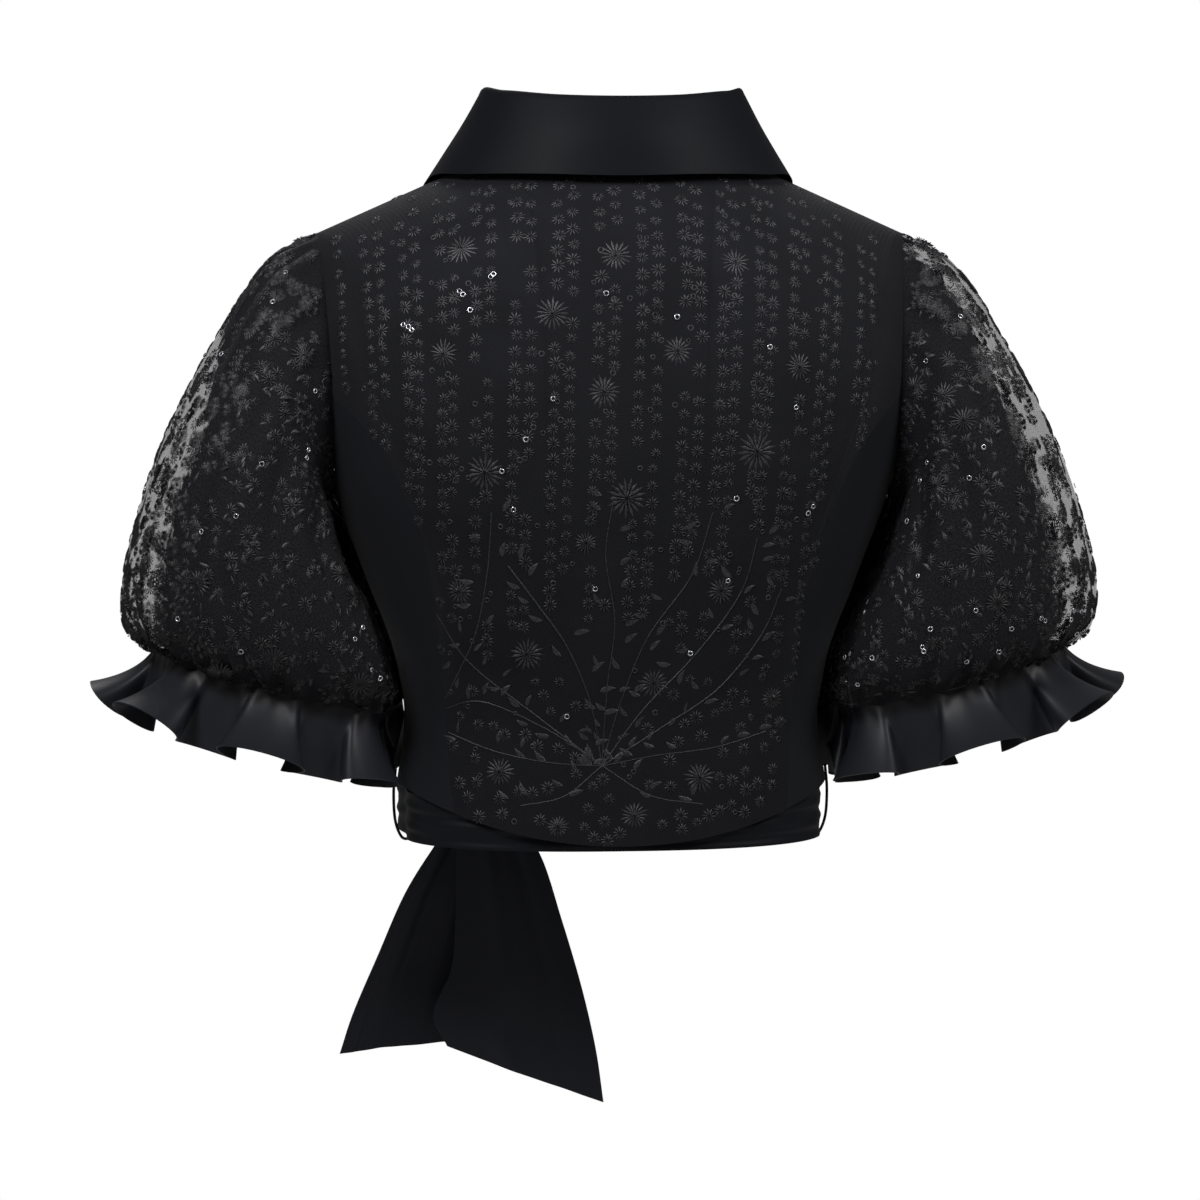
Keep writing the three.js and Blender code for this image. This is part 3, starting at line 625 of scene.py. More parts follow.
# Ruffle: hangs from the cuff, leans out and rolls into round flutes towards its free edge
RUFFLE_DEPTH = 45
RUFFLE_FLARE = {"outside": 15, "beside": 15, "inside": 9}
RUFFLE_SWING = 17
RUFFLE_ROUNDING = 13
RUFFLE_WIDENING = 3
RUFFLE_GATHER = 1.2
RUFFLE_FLUTES = 8
RUFFLE_SEAM_GAP = 0.2
RUFFLE_CLEARANCE = 8
RUFFLE_GATHERS = 44
RUFFLE_GATHERS_DEPTH = 0.45


def ruffle_point(turn, t):
    cuff = table_row(SLEEVE_SECTIONS, -1)
    across = unit(np.array([cuff["out_x"] - cuff["in_x"], 0, cuff["out_z"] - cuff["in_z"]]))
    down = np.array([across[2], 0, -across[0]])
    radial = across * np.cos(turn)[..., None]
    radial[..., 1] = np.sin(turn)
    around = -across * np.sin(turn)[..., None]
    around[..., 1] = np.cos(turn)
    end = np.where(np.cos(turn) > 0, RUFFLE_FLARE["outside"], RUFFLE_FLARE["inside"])
    flare = mix(end, RUFFLE_FLARE["beside"], np.sin(turn) ** 2)
    phase = RUFFLE_FLUTES * turn + 0.35 * np.sin(2 * turn + 1)
    swing = RUFFLE_SWING * (1 + 0.12 * np.sin(2 * turn + 0.7))
    lean = np.arcsin((flare + swing * np.cos(phase)) / RUFFLE_DEPTH) * t ** 0.4
    length = RUFFLE_SEAM_GAP + RUFFLE_DEPTH * t
    small = RUFFLE_GATHERS_DEPTH * np.cos(RUFFLE_GATHERS * turn + 2 * np.sin(3 * turn)) * ease(8 * t)
    gather = (RUFFLE_GATHER * np.cos(phase) + small) * (1 - t)
    shift = RUFFLE_ROUNDING * np.sin(2 * phase) + RUFFLE_WIDENING * np.sin(phase)
    place = section_point(-1, turn) + down * (length * np.cos(lean))[..., None]
    place = place + radial * (length * np.sin(lean) + gather)[..., None]
    clearance = mix(SLEEVE_CLEARANCE, RUFFLE_CLEARANCE, ease(t))
    return keep_clear(place + around * (shift * t)[..., None], clearance)


def ruffle_surface(u, v):
    return ruffle_point(TURN * u, v), None


# Sash: a pleated ring below the side hems
SASH_TOP = -390
SASH_BOTTOM = -420
SASH_LEVEL = -400
SASH_OFFSETS = table(
    "angle offset",
    (-90, 6.9), (-60, 6.9), (-30, 5.6), (-14, -2), (0, -7.5), (22, -4), (90, -4),
)
SASH_WALL = 1.2
SASH_PLEATS = ((2.5, 0.55, 1), (4.5, 0.25, -2))
SASH_EDGE = 0.08
KNOT_WAIST = 0.16
KNOT_BAND_ENDS = (-11.0, 10.0)
KNOT = {"x": 72, "z": -405, "half_wide": 25, "half_deep": 12, "half_tall": 17, "clear": 0.1}


def sash_ring(angle):
    climb = climb_at(angle, SASH_LEVEL)
    out = torso_normal(angle, climb) * (1, 1, 0)
    degrees = np.degrees(np.arcsin(np.sin(angle)))
    offset = lookup(SASH_OFFSETS, "angle", "offset", degrees)
    return torso_point(angle, climb) + unit(out) * offset[..., None], unit(out)


def sash_surface(u, v):
    angle = TURN * u
    place, out = sash_ring(angle)
    place[..., 2] = mix(SASH_BOTTOM, SASH_TOP, v)
    drift = 0.9 * np.sin(3 * angle + 0.6) + 0.4 * np.sin(8 * angle)
    pleats = sum(height * np.cos(TURN * count * v + way * drift) for count, height, way in SASH_PLEATS)
    inside = faded(v, 0, 1, SASH_EDGE, SASH_EDGE)
    return place + out * (pleats * inside)[..., None], out


knot_angle = angle_at(KNOT["x"], SASH_LEVEL, -1)
knot_seat, knot_out = sash_ring(knot_angle)
knot_seat[2] = KNOT["z"]
knot_centre = knot_seat + knot_out * (SASH_WALL / 2 + KNOT["half_deep"] + KNOT["clear"])
knot_side = np.array([-knot_out[1], knot_out[0], 0])
KNOT_AXES = np.stack([knot_side, knot_out, np.array([0, 0, 1.0])])


def knot_core(u, v):
    turn, tip = TURN * u, math.pi * (0.02 + 0.96 * v)
    pleat = 1 + 0.055 * np.cos(9 * turn + 2.2 * np.cos(tip)) * np.sin(tip)
    waist = 1 - KNOT_WAIST * hump(np.cos(tip), 0.3)
    local = points(
        KNOT["half_wide"] * np.cos(tip),
        KNOT["half_deep"] * 0.86 * np.sin(tip) ** 0.8 * np.cos(turn) * pleat * waist,
        KNOT["half_tall"] * 0.92 * np.sin(tip) ** 0.8 * np.sin(turn) * pleat * waist,
    )
    return knot_centre + local @ KNOT_AXES, None


def knot_band(u, v):
    turn = TURN * u
    pleat = 0.035 * np.cos(TURN * 3 * v + 1.2 * np.sin(2 * turn))
    crown = 0.93 + 0.06 * np.sin(math.pi * v) + pleat
    lean = 3 * np.sin(turn)
    local = points(
        mix(*KNOT_BAND_ENDS, v) + lean + 1.2 * np.sin(3 * turn),
        KNOT["half_deep"] * crown * np.cos(turn),
        KNOT["half_tall"] * crown * np.sin(turn),
    )
    return knot_centre + local @ KNOT_AXES, None


# Tails: rows down each length with its two long edges, its depth and the bulge of its folds
TAIL_FRONT = table(
    "left_x left_z right_x right_z y fold",
    (89, -421.9, 64, -421.9, -106.5, 0.3), (104, -443, 66, -445, -113, 3),
    (124, -475, 72, -480, -114, 5), (142, -516, 80, -515, -115, 6),
    (158, -553, 88, -545, -115, 5), (167, -580, 93, -573, -115, 4),
)
TAIL_REAR = table(
    "left_x left_z right_x right_z y fold",
    (86, -421.9, 60, -421.9, -103.7, -0.3), (91, -445, 38, -447, -103, -3),
    (92, -485, 23, -492, -101, -5), (95, -522, 10, -537, -100, -6),
    (107, -552, 1, -577, -100, -5), (98, -573, -4, -612, -100, -4),
)
TAIL_TURN_UNDER = 0.15
TAIL_FLAP = 0.13
PLEAT_SLANT = 0.06


def tail_surface(rows, pleats):
    def read(column, v):
        return along_rows(rows[column], v)

    def surface(u, v):
        flap = np.clip(1 - u / TAIL_TURN_UNDER, 0, 1)
        beyond = (u - TAIL_TURN_UNDER) / (1 - TAIL_TURN_UNDER)
        across = np.where(u < TAIL_TURN_UNDER, TAIL_FLAP * flap, beyond)
        roll = 1.1 * np.sin(math.pi * np.clip(flap * 0.5 + 0.5, 0, 1)) + 1.7 * ease(flap)
        x = mix(read("left_x", v), read("right_x", v), across)
        z = mix(read("left_z", v), read("right_z", v), across)
        deep = read("fold", v) * np.sin(math.pi * across)
        grown = ease(v / 0.25)
        for at, width, size in pleats:
            deep = deep + size * grown * hump(across - at - PLEAT_SLANT * v, width)
        close = (1 - grown) * 0.6
        y = read("y", v) - deep + np.sign(read("fold", v)) * (roll - 1.1) * (1 - close)
        return points(x, y, z), None

    return surface


# Loops: down outside the side seam, under the sash and up inside it
LOOP_RADIUS = 0.9
LOOP_STEPS = 90
LOOP_SIDES = 12
LOOP_ROUTE = points(
    (134.1, 135.4, 134.5, 130.6, 125.8, 124.3, 124.7, 125.1, 129.2), 0,
    (-379, -394, -411, -421.4, -422.4, -418.5, -402, -389, -379),
)


# Meshes
CLOTH_MAP = "cloth"
SHARP_EDGE = 55


def new_object(name, mesh, material):
    obj = add_object(name, mesh)
    mesh.materials.append(material)
    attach(obj, "root")
    return obj


def build_mesh(name, vertices, faces, uvs=None):
    mesh = bpy.data.meshes.new(name)
    mesh.from_pydata((vertices * MM).tolist(), [], faces)
    if uvs is not None:
        layer = mesh.uv_layers.new(name=CLOTH_MAP)
        corners = np.empty(len(mesh.loops), dtype=np.int64)
        mesh.loops.foreach_get("vertex_index", corners)
        layer.uv.foreach_set("vector", uvs[corners].astype(np.float32).ravel())
    mesh.polygons.foreach_set("use_smooth", [True] * len(mesh.polygons))
    return mesh


def face_out(mesh):
    bm = bmesh.new()
    bm.from_mesh(mesh)
    if bm.calc_volume(signed=True) < 0:
        bmesh.ops.reverse_faces(bm, faces=bm.faces)
    bm.to_mesh(mesh)
    bm.free()


def grid_normals(place, wrap):
    if wrap:
        ring = place[:, :-1]
        along = np.roll(ring, -1, 1) - np.roll(ring, 1, 1)
        along = np.concatenate([along, along[:, :1]], 1)
    else:
        along = np.gradient(place, axis=1)
    return unit(np.cross(along, np.gradient(place, axis=0)))


def shell(surface, columns, rows, thickness, wrap=False, mirror=False):
    """Thin wall on a surface: its vertices, faces, cloth coordinates and flat size in metres."""
    u, v = np.meshgrid(np.linspace(0, 1, columns + 1), np.linspace(0, 1, rows + 1))
    place, out = surface(u, v)
    if out is None:
        out = grid_normals(place, wrap)
    if mirror:
        place, out = place * (-1, 1, 1), out * (-1, 1, 1)
    width = np.linalg.norm(np.diff(place, axis=1), axis=-1).sum(1).mean() * MM
    length = np.linalg.norm(np.diff(place, axis=0), axis=-1).sum(0).mean() * MM
    across = columns if wrap else columns + 1
    edge = place[:, :across] + out[:, :across] * thickness / 2
    back = place[:, :across] - out[:, :across] * thickness / 2
    vertices = np.concatenate([edge.reshape(-1, 3), back.reshape(-1, 3)])
    offset = across * (rows + 1)
    i, j = np.meshgrid(np.arange(columns), np.arange(rows))
    a = (j * across + i).ravel()
    b = (j * across + (i + 1) % across).ravel()
    c, d = b + across, a + across
    faces = [np.stack([a, b, c, d], 1), np.stack([d, c, b, a], 1) + offset]

    def close(first, second):
        faces.append(np.stack([first, second, second + offset, first + offset], 1))

    first = np.arange(columns)
    second, top = (first + 1) % across, rows * across
    close(second, first)
    close(first + top, second + top)
    if not wrap:
        first = np.arange(rows) * across
        close(first, first + across)
        close(first + across + columns, first + columns)
    uvs = np.stack([u[:, :across] * width, v[:, :across] * length], -1).reshape(-1, 2)
    return vertices, np.concatenate(faces), np.concatenate([uvs, uvs]), [width, length]


def wrapped_uvs(mesh, width):
    """The last column of a tube takes its cloth coordinate past the seam instead of back at zero."""
    layer = mesh.uv_layers[CLOTH_MAP]
    values = np.empty(2 * len(mesh.loops), dtype=np.float32)
    layer.uv.foreach_get("vector", values)
    corners = values.reshape(-1, 4, 2)[..., 0]
    corners[corners < corners.max(1, keepdims=True) - width / 2] += width
    layer.uv.foreach_set("vector", values)


def area_of(mesh):
    areas = np.empty(len(mesh.polygons), dtype=np.float32)
    mesh.polygons.foreach_get("area", areas)
    return float(areas.sum())


# Materials
SHEEN_ROUGHNESS = 0.4
BLEND_ENDS = (0.3, 0.7)
# Heights in metres where the painted shade below is deepest and where it ends
PAINTED_SHADE_LEVELS = (-0.34, -0.08)


class Graph:
    """A node tree, with short calls that add nodes to it and join them."""

    def __init__(self, tree):
        self.nodes, self.links = tree.nodes, tree.links

    def join(self, value, socket):
        if hasattr(value, "links"):
            self.links.new(value, socket)
        else:
            socket.default_value = value

    def feed(self, node, **inputs):
        for name, value in inputs.items():
            self.join(value, node.inputs[name.replace("_", " ")])
        return node

    def add(self, kind, **inputs):
        return self.feed(self.nodes.new("ShaderNode" + kind), **inputs)

    def maths(self, kind, *values):
        made = self.add("Math")
        made.operation = kind
        for value, socket in zip(values, made.inputs):
            self.join(value, socket)
        return made.outputs[0]

    def mapped(self, value, low, high, least=0.0, most=1.0):
        """Least at low, most at high, straight between and level beyond."""
        made = self.add("MapRange", Value=value, From_Min=low, From_Max=high, To_Min=least, To_Max=most)
        return made.outputs[0]


class Shading(Graph):
    """A new material and its nodes."""

    def __init__(self, name, base, roughness, specular=0.3, sheen=0.0):
        self.material = bpy.data.materials.new(name)
        self.material.use_nodes = True
        super().__init__(self.material.node_tree)
        self.surface(Base_Color=(*base, 1), Roughness=roughness, Specular_IOR_Level=specular,
                     Sheen_Weight=sheen, Sheen_Roughness=SHEEN_ROUGHNESS)

    def surface(self, **inputs):
        self.feed(self.nodes["Principled BSDF"], **inputs)

    def bump(self, height, distance, strength):
        made = self.add("Bump", Height=height, Distance=distance, Strength=strength)
        self.surface(Normal=made.outputs["Normal"])

    def cloth_map(self):
        made = self.add("UVMap")
        made.uv_map = CLOTH_MAP
        return made.outputs["UV"]

    def cloth_axes(self):
        """The cloth's own two directions in metres, from its map."""
        split = self.add("SeparateXYZ", Vector=self.cloth_map())
        return split.outputs["X"], split.outputs["Y"]

    def place(self):
        return self.add("TexCoord").outputs["Object"]

    def wave(self, along, pitch):
        return self.maths("SINE", self.maths("MULTIPLY", along, TURN / pitch))

    def noise(self, scale, detail=3.0, where=None):
        return self.add("TexNoise", Scale=scale, Detail=detail, Vector=where or self.place()).outputs["Fac"]

    def blended(self, factor, low, high):
        ramp = self.add("ValToRGB", Fac=factor)
        for end, position, colour in zip(ramp.color_ramp.elements, BLEND_ENDS, (low, high)):
            end.position = position
            end.color = (*colour, 1)
        return ramp.outputs["Color"]

    def painted_shade_below(self, colour, least):
        """Painted shade: dims a colour towards the hem, as if less light reached the lower part."""
        height = self.add("SeparateXYZ", Vector=self.place()).outputs["Z"]
        scaled = self.add("VectorMath")
        scaled.operation = "SCALE"
        self.feed(scaled, Vector=colour, Scale=self.mapped(height, *PAINTED_SHADE_LEVELS, least))
        return scaled.outputs[0]


NET_PITCH = 0.0012


def ground_cloth():
    """Matt black ground with a fine net lying on it."""
    made = Shading("lace_ground", (0.009, 0.0092, 0.0115), roughness=0.85, specular=0.12, sheen=0.05)
    net = made.maths("MAXIMUM", *[made.wave(axis, NET_PITCH) for axis in made.cloth_axes()])
    colour = made.blended(made.noise(24), (0.0078, 0.008, 0.01), (0.0105, 0.0108, 0.0135))
    # Painted shade: the ground's colour is dimmed towards the hem, down to 0.6, as if lit from above.
    made.surface(Base_Color=made.painted_shade_below(colour, 0.6))
    made.bump(net, distance=0.00012, strength=0.6)
    return made.material


def crepe():
    made = Shading("plain_crepe", (0.008, 0.0085, 0.0105), roughness=0.8, specular=0.1, sheen=0.04)
    colour = made.blended(made.noise(14), (0.0072, 0.0078, 0.0098), (0.0088, 0.0094, 0.0118))
    made.surface(Base_Color=colour)
    made.bump(made.noise(1600, detail=2), distance=0.0001, strength=0.35)
    return made.material


# Satin colours before the gain: plain, the light and dark ends of its random tone, and gathered, the
# painted shadow at a gathered seam
SATIN_TONES = {
    "plain": (0.008, 0.0084, 0.011), "light": (0.0088, 0.0093, 0.0122),
    "dark": (0.0068, 0.0073, 0.0096), "gathered": (0.0024, 0.0026, 0.0034),
}
SATIN_FLOATS = {"across": 2600.0, "along": 260.0}
# Metres from the seam where the painted shadow begins to lighten
GATHER_SHADOW_START = 0.001


def satin_cloth(name, painted_light_gain, shine, rough=0.46, gathered=0.0):
    """Smooth satin with floats that run one way. With gathered set it is darkened near the gathered seam
    with painted shadow; otherwise its tone varies at random.
    """
    # Painted light and shade: the gain brightens or darkens the same satin colours for each piece.
    tones = {kind: tuple(part * painted_light_gain for part in colour) for kind, colour in SATIN_TONES.items()}
    made = Shading(name, tones["plain"], rough, shine)
    across, along = made.cloth_axes()
    stretched = made.add("CombineXYZ", X=made.maths("MULTIPLY", across, SATIN_FLOATS["across"]),
                         Y=made.maths("MULTIPLY", along, SATIN_FLOATS["along"]))
    floats = made.noise(1.0, 2.0, stretched.outputs[0])
    # Painted shadow: with gathered set, the colour runs from the gathered tone at the seam to the light
    # tone gathered metres along the cloth; otherwise random tone noise sets it.
    shadow_or_tone = made.mapped(along, GATHER_SHADOW_START, gathered) if gathered else made.noise(9)
    colour = made.blended(shadow_or_tone, tones["gathered" if gathered else "dark"], tones["light"])
    made.surface(Base_Color=colour, Roughness=made.mapped(floats, 0, 1, rough - 0.03, rough + 0.07))
    made.bump(floats, distance=0.00005, strength=0.5)
    return made.material


# Sleeve net, in metres: the sleeve's round, the half width of the strip that stays open along its
# inner side, how far down the sleeve that strip starts, and how uneven the open edges are
SLEEVE_ROUND = 0.487
INNER_STRIP = (0.02, 0.034)
INNER_START = (0.15, 0.165)
FRAYED = 0.03
# Low and high of the net's wave, and how opaque it is between its threads and on them
THREAD_COVER = (-0.6, 1.0, 0.12, 0.38)


def sheer_net(name, open_reach, cap, cap_fill):
    """See-through net with diagonal threads, open on the outside and filled with stitches elsewhere.

    The open part reaches open_reach from the outside line. Near the cap it is narrower by cap_fill.
    """
    made = Shading(name, (0.012, 0.012, 0.014), roughness=0.75, specular=0.1, sheen=0.05)
    across, along = made.cloth_axes()
    slants = [made.maths(kind, across, along) for kind in ("ADD", "SUBTRACT")]
    thread = made.maths("MAXIMUM", *[made.wave(slant, NET_PITCH) for slant in slants])
    where = made.cloth_map()
    uneven = made.maths("MULTIPLY", made.maths("SUBTRACT", made.noise(260, 4, where), 0.5), FRAYED)
    outside = made.maths("ADD", made.maths("PINGPONG", across, SLEEVE_ROUND / 2), uneven)
    narrowed = made.maths("ADD", outside, made.mapped(along, *cap, cap_fill, 0.0))
    inside = made.mapped(made.maths("SUBTRACT", SLEEVE_ROUND / 2, outside), *INNER_STRIP)
    upper = made.mapped(along, *INNER_START, 1.0, 0.0)
    filled = made.maths("MINIMUM", made.mapped(narrowed, *open_reach), made.maths("MAXIMUM", inside, upper))
    fine = made.noise(900, 3, where)
    made.surface(Alpha=made.maths("MAXIMUM", made.mapped(thread, *THREAD_COVER), filled),
                 Base_Color=made.blended(fine, (0.0014, 0.0014, 0.002), (0.0135, 0.0135, 0.0165)))
    made.bump(fine, distance=0.0003, strength=0.6)
    return made.material


def embroidery_thread(name, dark, light):
    made = Shading(name, (0.02, 0.02, 0.023), roughness=0.42, specular=0.4)
    # Fine noise mottles the thread from its own dark tone to a bright one; the bright spots are painted
    # glints. The same noise makes the bump.
    fine = made.noise(1000, detail=2)
    # Painted shade: the thread's colour is dimmed towards the hem, down to half, as if lit from above.
    made.surface(Base_Color=made.painted_shade_below(made.blended(fine, dark, light), 0.5))
    made.bump(fine, distance=0.0003, strength=0.8)
    return made.material


def sequin_film():
    made = Shading("sequins", (0.55, 0.56, 0.6), roughness=0.12, specular=0.8)
    # Noise mottles the sequins from dark to bright: partly their silver, partly painted glints.
    colour = made.blended(made.noise(300, detail=1), (0.12, 0.12, 0.14), (0.75, 0.76, 0.8))
    made.surface(Base_Color=colour, Metallic=0.6)
    return made.material


CORD_TWIST = 2200.0


def loop_cord():
    made = Shading("loop_cord", (0.006, 0.006, 0.007), roughness=0.55, specular=0.2, sheen=0.05)
    across, along = made.cloth_axes()
    ply = made.maths("SINE", made.maths("ADD", made.maths("MULTIPLY", along, CORD_TWIST), across))
    made.bump(ply, distance=0.0002, strength=0.8)
    return made.material


# Each kind of cloth: its material, slot and thickness in millimetres
PANEL_CLOTH = 0.9
SATIN_CLOTH = 0.8
NET_CLOTH = 0.35
CLOTHS = {
    "ground": (ground_cloth(), "lace_on_ground", PANEL_CLOTH),
    "crepe": (crepe(), "plain_crepe", PANEL_CLOTH),
    # The satins are one cloth; their gains paint light and shade on it: the collar and sash darker, the
    # ruffles, knot and tails lighter. The ruffles also get painted shadow under their gather over 16 mm.
    "satin": (satin_cloth("collar_satin", painted_light_gain=0.8, shine=0.06, rough=0.5), "satin", SATIN_CLOTH),
    "ruffle": (satin_cloth("ruffle_satin", painted_light_gain=1.2, shine=0.22, rough=0.44, gathered=0.016), "satin",
               SATIN_CLOTH),
    "sash": (satin_cloth("sash_satin", painted_light_gain=0.9, shine=0.09), "satin", SATIN_CLOTH),
    "tail": (satin_cloth("tail_satin", painted_light_gain=1.7, shine=0.13), "satin", SATIN_CLOTH),
    "net_left": (sheer_net("sheer_net_left", open_reach=(0.060, 0.070), cap=(0.045, 0.085), cap_fill=0.075),
                 "sheer_lace", NET_CLOTH),
    "net_right": (sheer_net("sheer_net_right", open_reach=(0.075, 0.085), cap=(0.0, 0.055), cap_fill=0.04),
                  "sheer_lace", NET_CLOTH),
}
# Each thread's dark colour is its own tone and its light colour is a painted glint
THREAD = embroidery_thread("embroidery", (0.0012, 0.0012, 0.0018), (0.05, 0.05, 0.058))
SLEEVE_THREAD = embroidery_thread("sleeve_embroidery", (0.001, 0.001, 0.0015), (0.026, 0.026, 0.031))
SEQUINS = sequin_film()
CORD = loop_cord()


def cloth(name, surface, size, kind, node, wrap=False, mirror=False, thickness=None):
    """Cloth shell on a surface, shown in place of a node, or beside one where node is None."""
    material, slot, usual = CLOTHS[kind]
    vertices, faces, uvs, flat = shell(surface, *size, thickness or usual, wrap, mirror)
    mesh = build_mesh(name, vertices, faces.tolist(), uvs)
    if wrap:
        wrapped_uvs(mesh, flat[0])
    face_out(mesh)
    mesh.set_sharp_from_angle(angle=math.radians(SHARP_EDGE))
    obj = new_object(name, mesh, material)
    if node:
        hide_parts(node)
    obj["flat"] = flat
    return obj


# Body panels, collar, sleeves, ruffles
pieces = {}
SIDES = (("left", False), ("right", True))


def single(name, surface, size, kind, wrap=False, mirror=False):
    pieces[name] = cloth(name + "_cloth", surface, size, kind, name, wrap, mirror)


def both(name, surface, size, kind, wrap=False):
    for side, mirror in SIDES:
        single(f"{name}_{side}", surface, size, kind, wrap, mirror)


back_surface = panel_surface(back_borders(), PANEL_WIDTHS["back"], BACK_CREASES)
side_surface = panel_surface(side_borders(), PANEL_WIDTHS["side"], SIDE_CREASES)
front = (front_borders(), PANEL_WIDTHS["front"], FRONT_CREASES)
front_left_surface = panel_surface(*front)
front_right_surface = panel_surface(*front, overlap_lift)

single("back_centre", back_surface, (112, 88), "ground")
both("side_back", side_surface, (40, 90), "crepe")
single("front_left", front_left_surface, (80, 84), "ground")
single("front_right", front_right_surface, (80, 84), "ground", mirror=True)
single("collar_stand", both_sides(collar_stand), (168, 8), "satin")
single("collar_fall", both_sides(collar_fall), (216, 44), "satin")
for side, mirror in SIDES:
    single(f"sleeve_{side}", sleeve_surface, (176, 64), f"net_{side}", wrap=True, mirror=mirror)
both("ruffle", ruffle_surface, (384, 18), "ruffle", wrap=True)

# Sash, knot and tails; a pleat is its place across, its width and its height
FRONT_PLEATS = ((0.3, 0.08, 2.2), (0.62, 0.1, -1.8), (0.84, 0.06, 1.2))
REAR_PLEATS = ((0.36, 0.09, -2.0), (0.7, 0.08, 1.5))
KNOT_WRAP_CLOTH = 0.9

single("sash", sash_surface, (240, 24), "sash", wrap=True)
single("sash_knot", knot_core, (72, 48), "tail", wrap=True)
knot_wrap = cloth("sash_knot_wrap", knot_band, (96, 24), "tail", None, wrap=True, thickness=KNOT_WRAP_CLOTH)
single("sash_tail_front", tail_surface(TAIL_FRONT, FRONT_PLEATS), (72, 80), "tail")
single("sash_tail_rear", tail_surface(TAIL_REAR, REAR_PLEATS), (72, 90), "tail")


def loop_tube(name, mirror):
    steps, sides = LOOP_STEPS, LOOP_SIDES
    t = np.linspace(0, 1, steps + 1)
    line = np.stack([along_rows(values, t) for values in LOOP_ROUTE.T], -1)
    if mirror:
        line = line * (-1, 1, 1)
    ahead = unit(np.gradient(line, axis=0))
    side = np.broadcast_to(np.array([0, 1.0, 0]), ahead.shape)
    up = unit(np.cross(ahead, side))
    turn = np.linspace(0, TURN, sides, endpoint=False)
    ring = side[:, None] * np.cos(turn)[:, None] + up[:, None] * np.sin(turn)[:, None]
    vertices = (line[:, None] + ring * LOOP_RADIUS).reshape(-1, 3)
    uvs = np.stack(np.broadcast_arrays(turn, lengths(line)[:, None] * MM), -1).reshape(-1, 2)
    faces = [[j * sides + i, j * sides + (i + 1) % sides, (j + 1) * sides + (i + 1) % sides,
              (j + 1) * sides + i] for j in range(steps) for i in range(sides)]
    faces.append(list(range(sides)))
    faces.append([steps * sides + i for i in reversed(range(sides))])
    mesh = build_mesh(name, vertices, faces, uvs)
    face_out(mesh)
    return new_object(name, mesh, CORD)


for side, mirror in SIDES:
    node = f"sash_loop_{side}"
    loop = loop_tube(node + "_cord", mirror)
    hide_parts(node)
    pieces[node] = loop


# Embroidery: small motifs, made once and set on the cloth at many places, each panel's as one mesh
class Batch:
    """Vertices and faces of many small pieces that become one mesh."""

    def __init__(self):
        self.vertices, self.faces, self.count = [], [], 0

    def add(self, vertices, faces):
        self.vertices.append(vertices.reshape(-1, 3))
        self.faces.append(faces + self.count)
        self.count += len(self.vertices[-1])

    def finish(self, name, material, slot):
        faces = [face for part in self.faces for face in part.tolist()]
        mesh = build_mesh(name, np.concatenate(self.vertices), faces)
        return new_object(name, mesh, material)


FRAME_STEP = 0.0015


def frames_on(surface, u, v, lift, mirror=False):
    """Place on the cloth at u, v, its outward direction and the cloth's two directions there."""
    step = FRAME_STEP

    def at(a, b):
        return surface(np.atleast_2d(a), np.clip(np.atleast_2d(b), 0, 1))

    across = unit(at(u + step, v)[0][0] - at(u - step, v)[0][0])
    down = unit(at(u, np.minimum(1, v + step))[0][0] - at(u, np.maximum(0, v - step))[0][0])
    place, known = at(u, v)
    out = unit(np.cross(down, across)) if known is None else known[0]
    up = unit(np.cross(out, across))
    frames = (place[0] + out * lift, out, across, up)
    return tuple(each * (-1, 1, 1) for each in frames) if mirror else frames


def stamp(batch, shape, faces, frames, turn, size, relief, mirror, bend):
    """Sets a motif with heights on each frame, turned, scaled and bent down to the cloth."""
    faces = faces[:, ::-1] if mirror else faces
    place, out, across, up = frames
    c, s = np.cos(turn)[:, None], np.sin(turn)[:, None]
    x = (shape[:, 0] * c - shape[:, 1] * s) * size[:, None]
    y = (shape[:, 0] * s + shape[:, 1] * c) * size[:, None]
    h = shape[:, 2] * relief[:, None] - (x ** 2 + y ** 2) / (2 * bend)
    dots = (place[:, None] + across[:, None] * x[..., None] + up[:, None] * y[..., None]
            + out[:, None] * h[..., None])
    count = len(shape)
    many = faces[None] + (np.arange(len(place)) * count)[:, None, None]
    batch.add(dots, many.reshape(-1, faces.shape[1]))


def petals(count, inner, waist, width):
    """Ring of kite petals, each a ridge of four triangles: radius one, height one."""
    turn = np.arange(count) * TURN / count
    dots, faces = [], []
    for k, angle in enumerate(turn):
        along = np.array([math.cos(angle), math.sin(angle)])
        side = np.array([-along[1], along[0]])
        reach = 1 - 0.16 * (k % 3 == 1)
        for radius, off, height in ((inner, 0, 1), (waist, width, 0), (waist, -width, 0),
                                    (waist, 0, 0.8), (reach, 0, 0)):
            dots.append([*(along * radius + side * off), height])
        a = 5 * k
        faces += [[a, a + 2, a + 3], [a, a + 3, a + 1], [a + 1, a + 3, a + 4], [a + 3, a + 2, a + 4]]
    return np.array(dots), np.array(faces)


def ring_motif(sides, thin):
    turn = np.arange(sides) * TURN / sides
    outer = np.stack([np.cos(turn), np.sin(turn), 0 * turn], -1)
    crest = outer * (1 - thin) + (0, 0, 1)
    inner = outer * (1 - 2 * thin)
    faces = []
    for k in range(sides):
        n = (k + 1) % sides
        faces += [[k, n, sides + n, k + sides], [k + sides, n + sides, n + 2 * sides, k + 2 * sides]]
    return np.concatenate([outer, crest, inner]), np.array(faces)


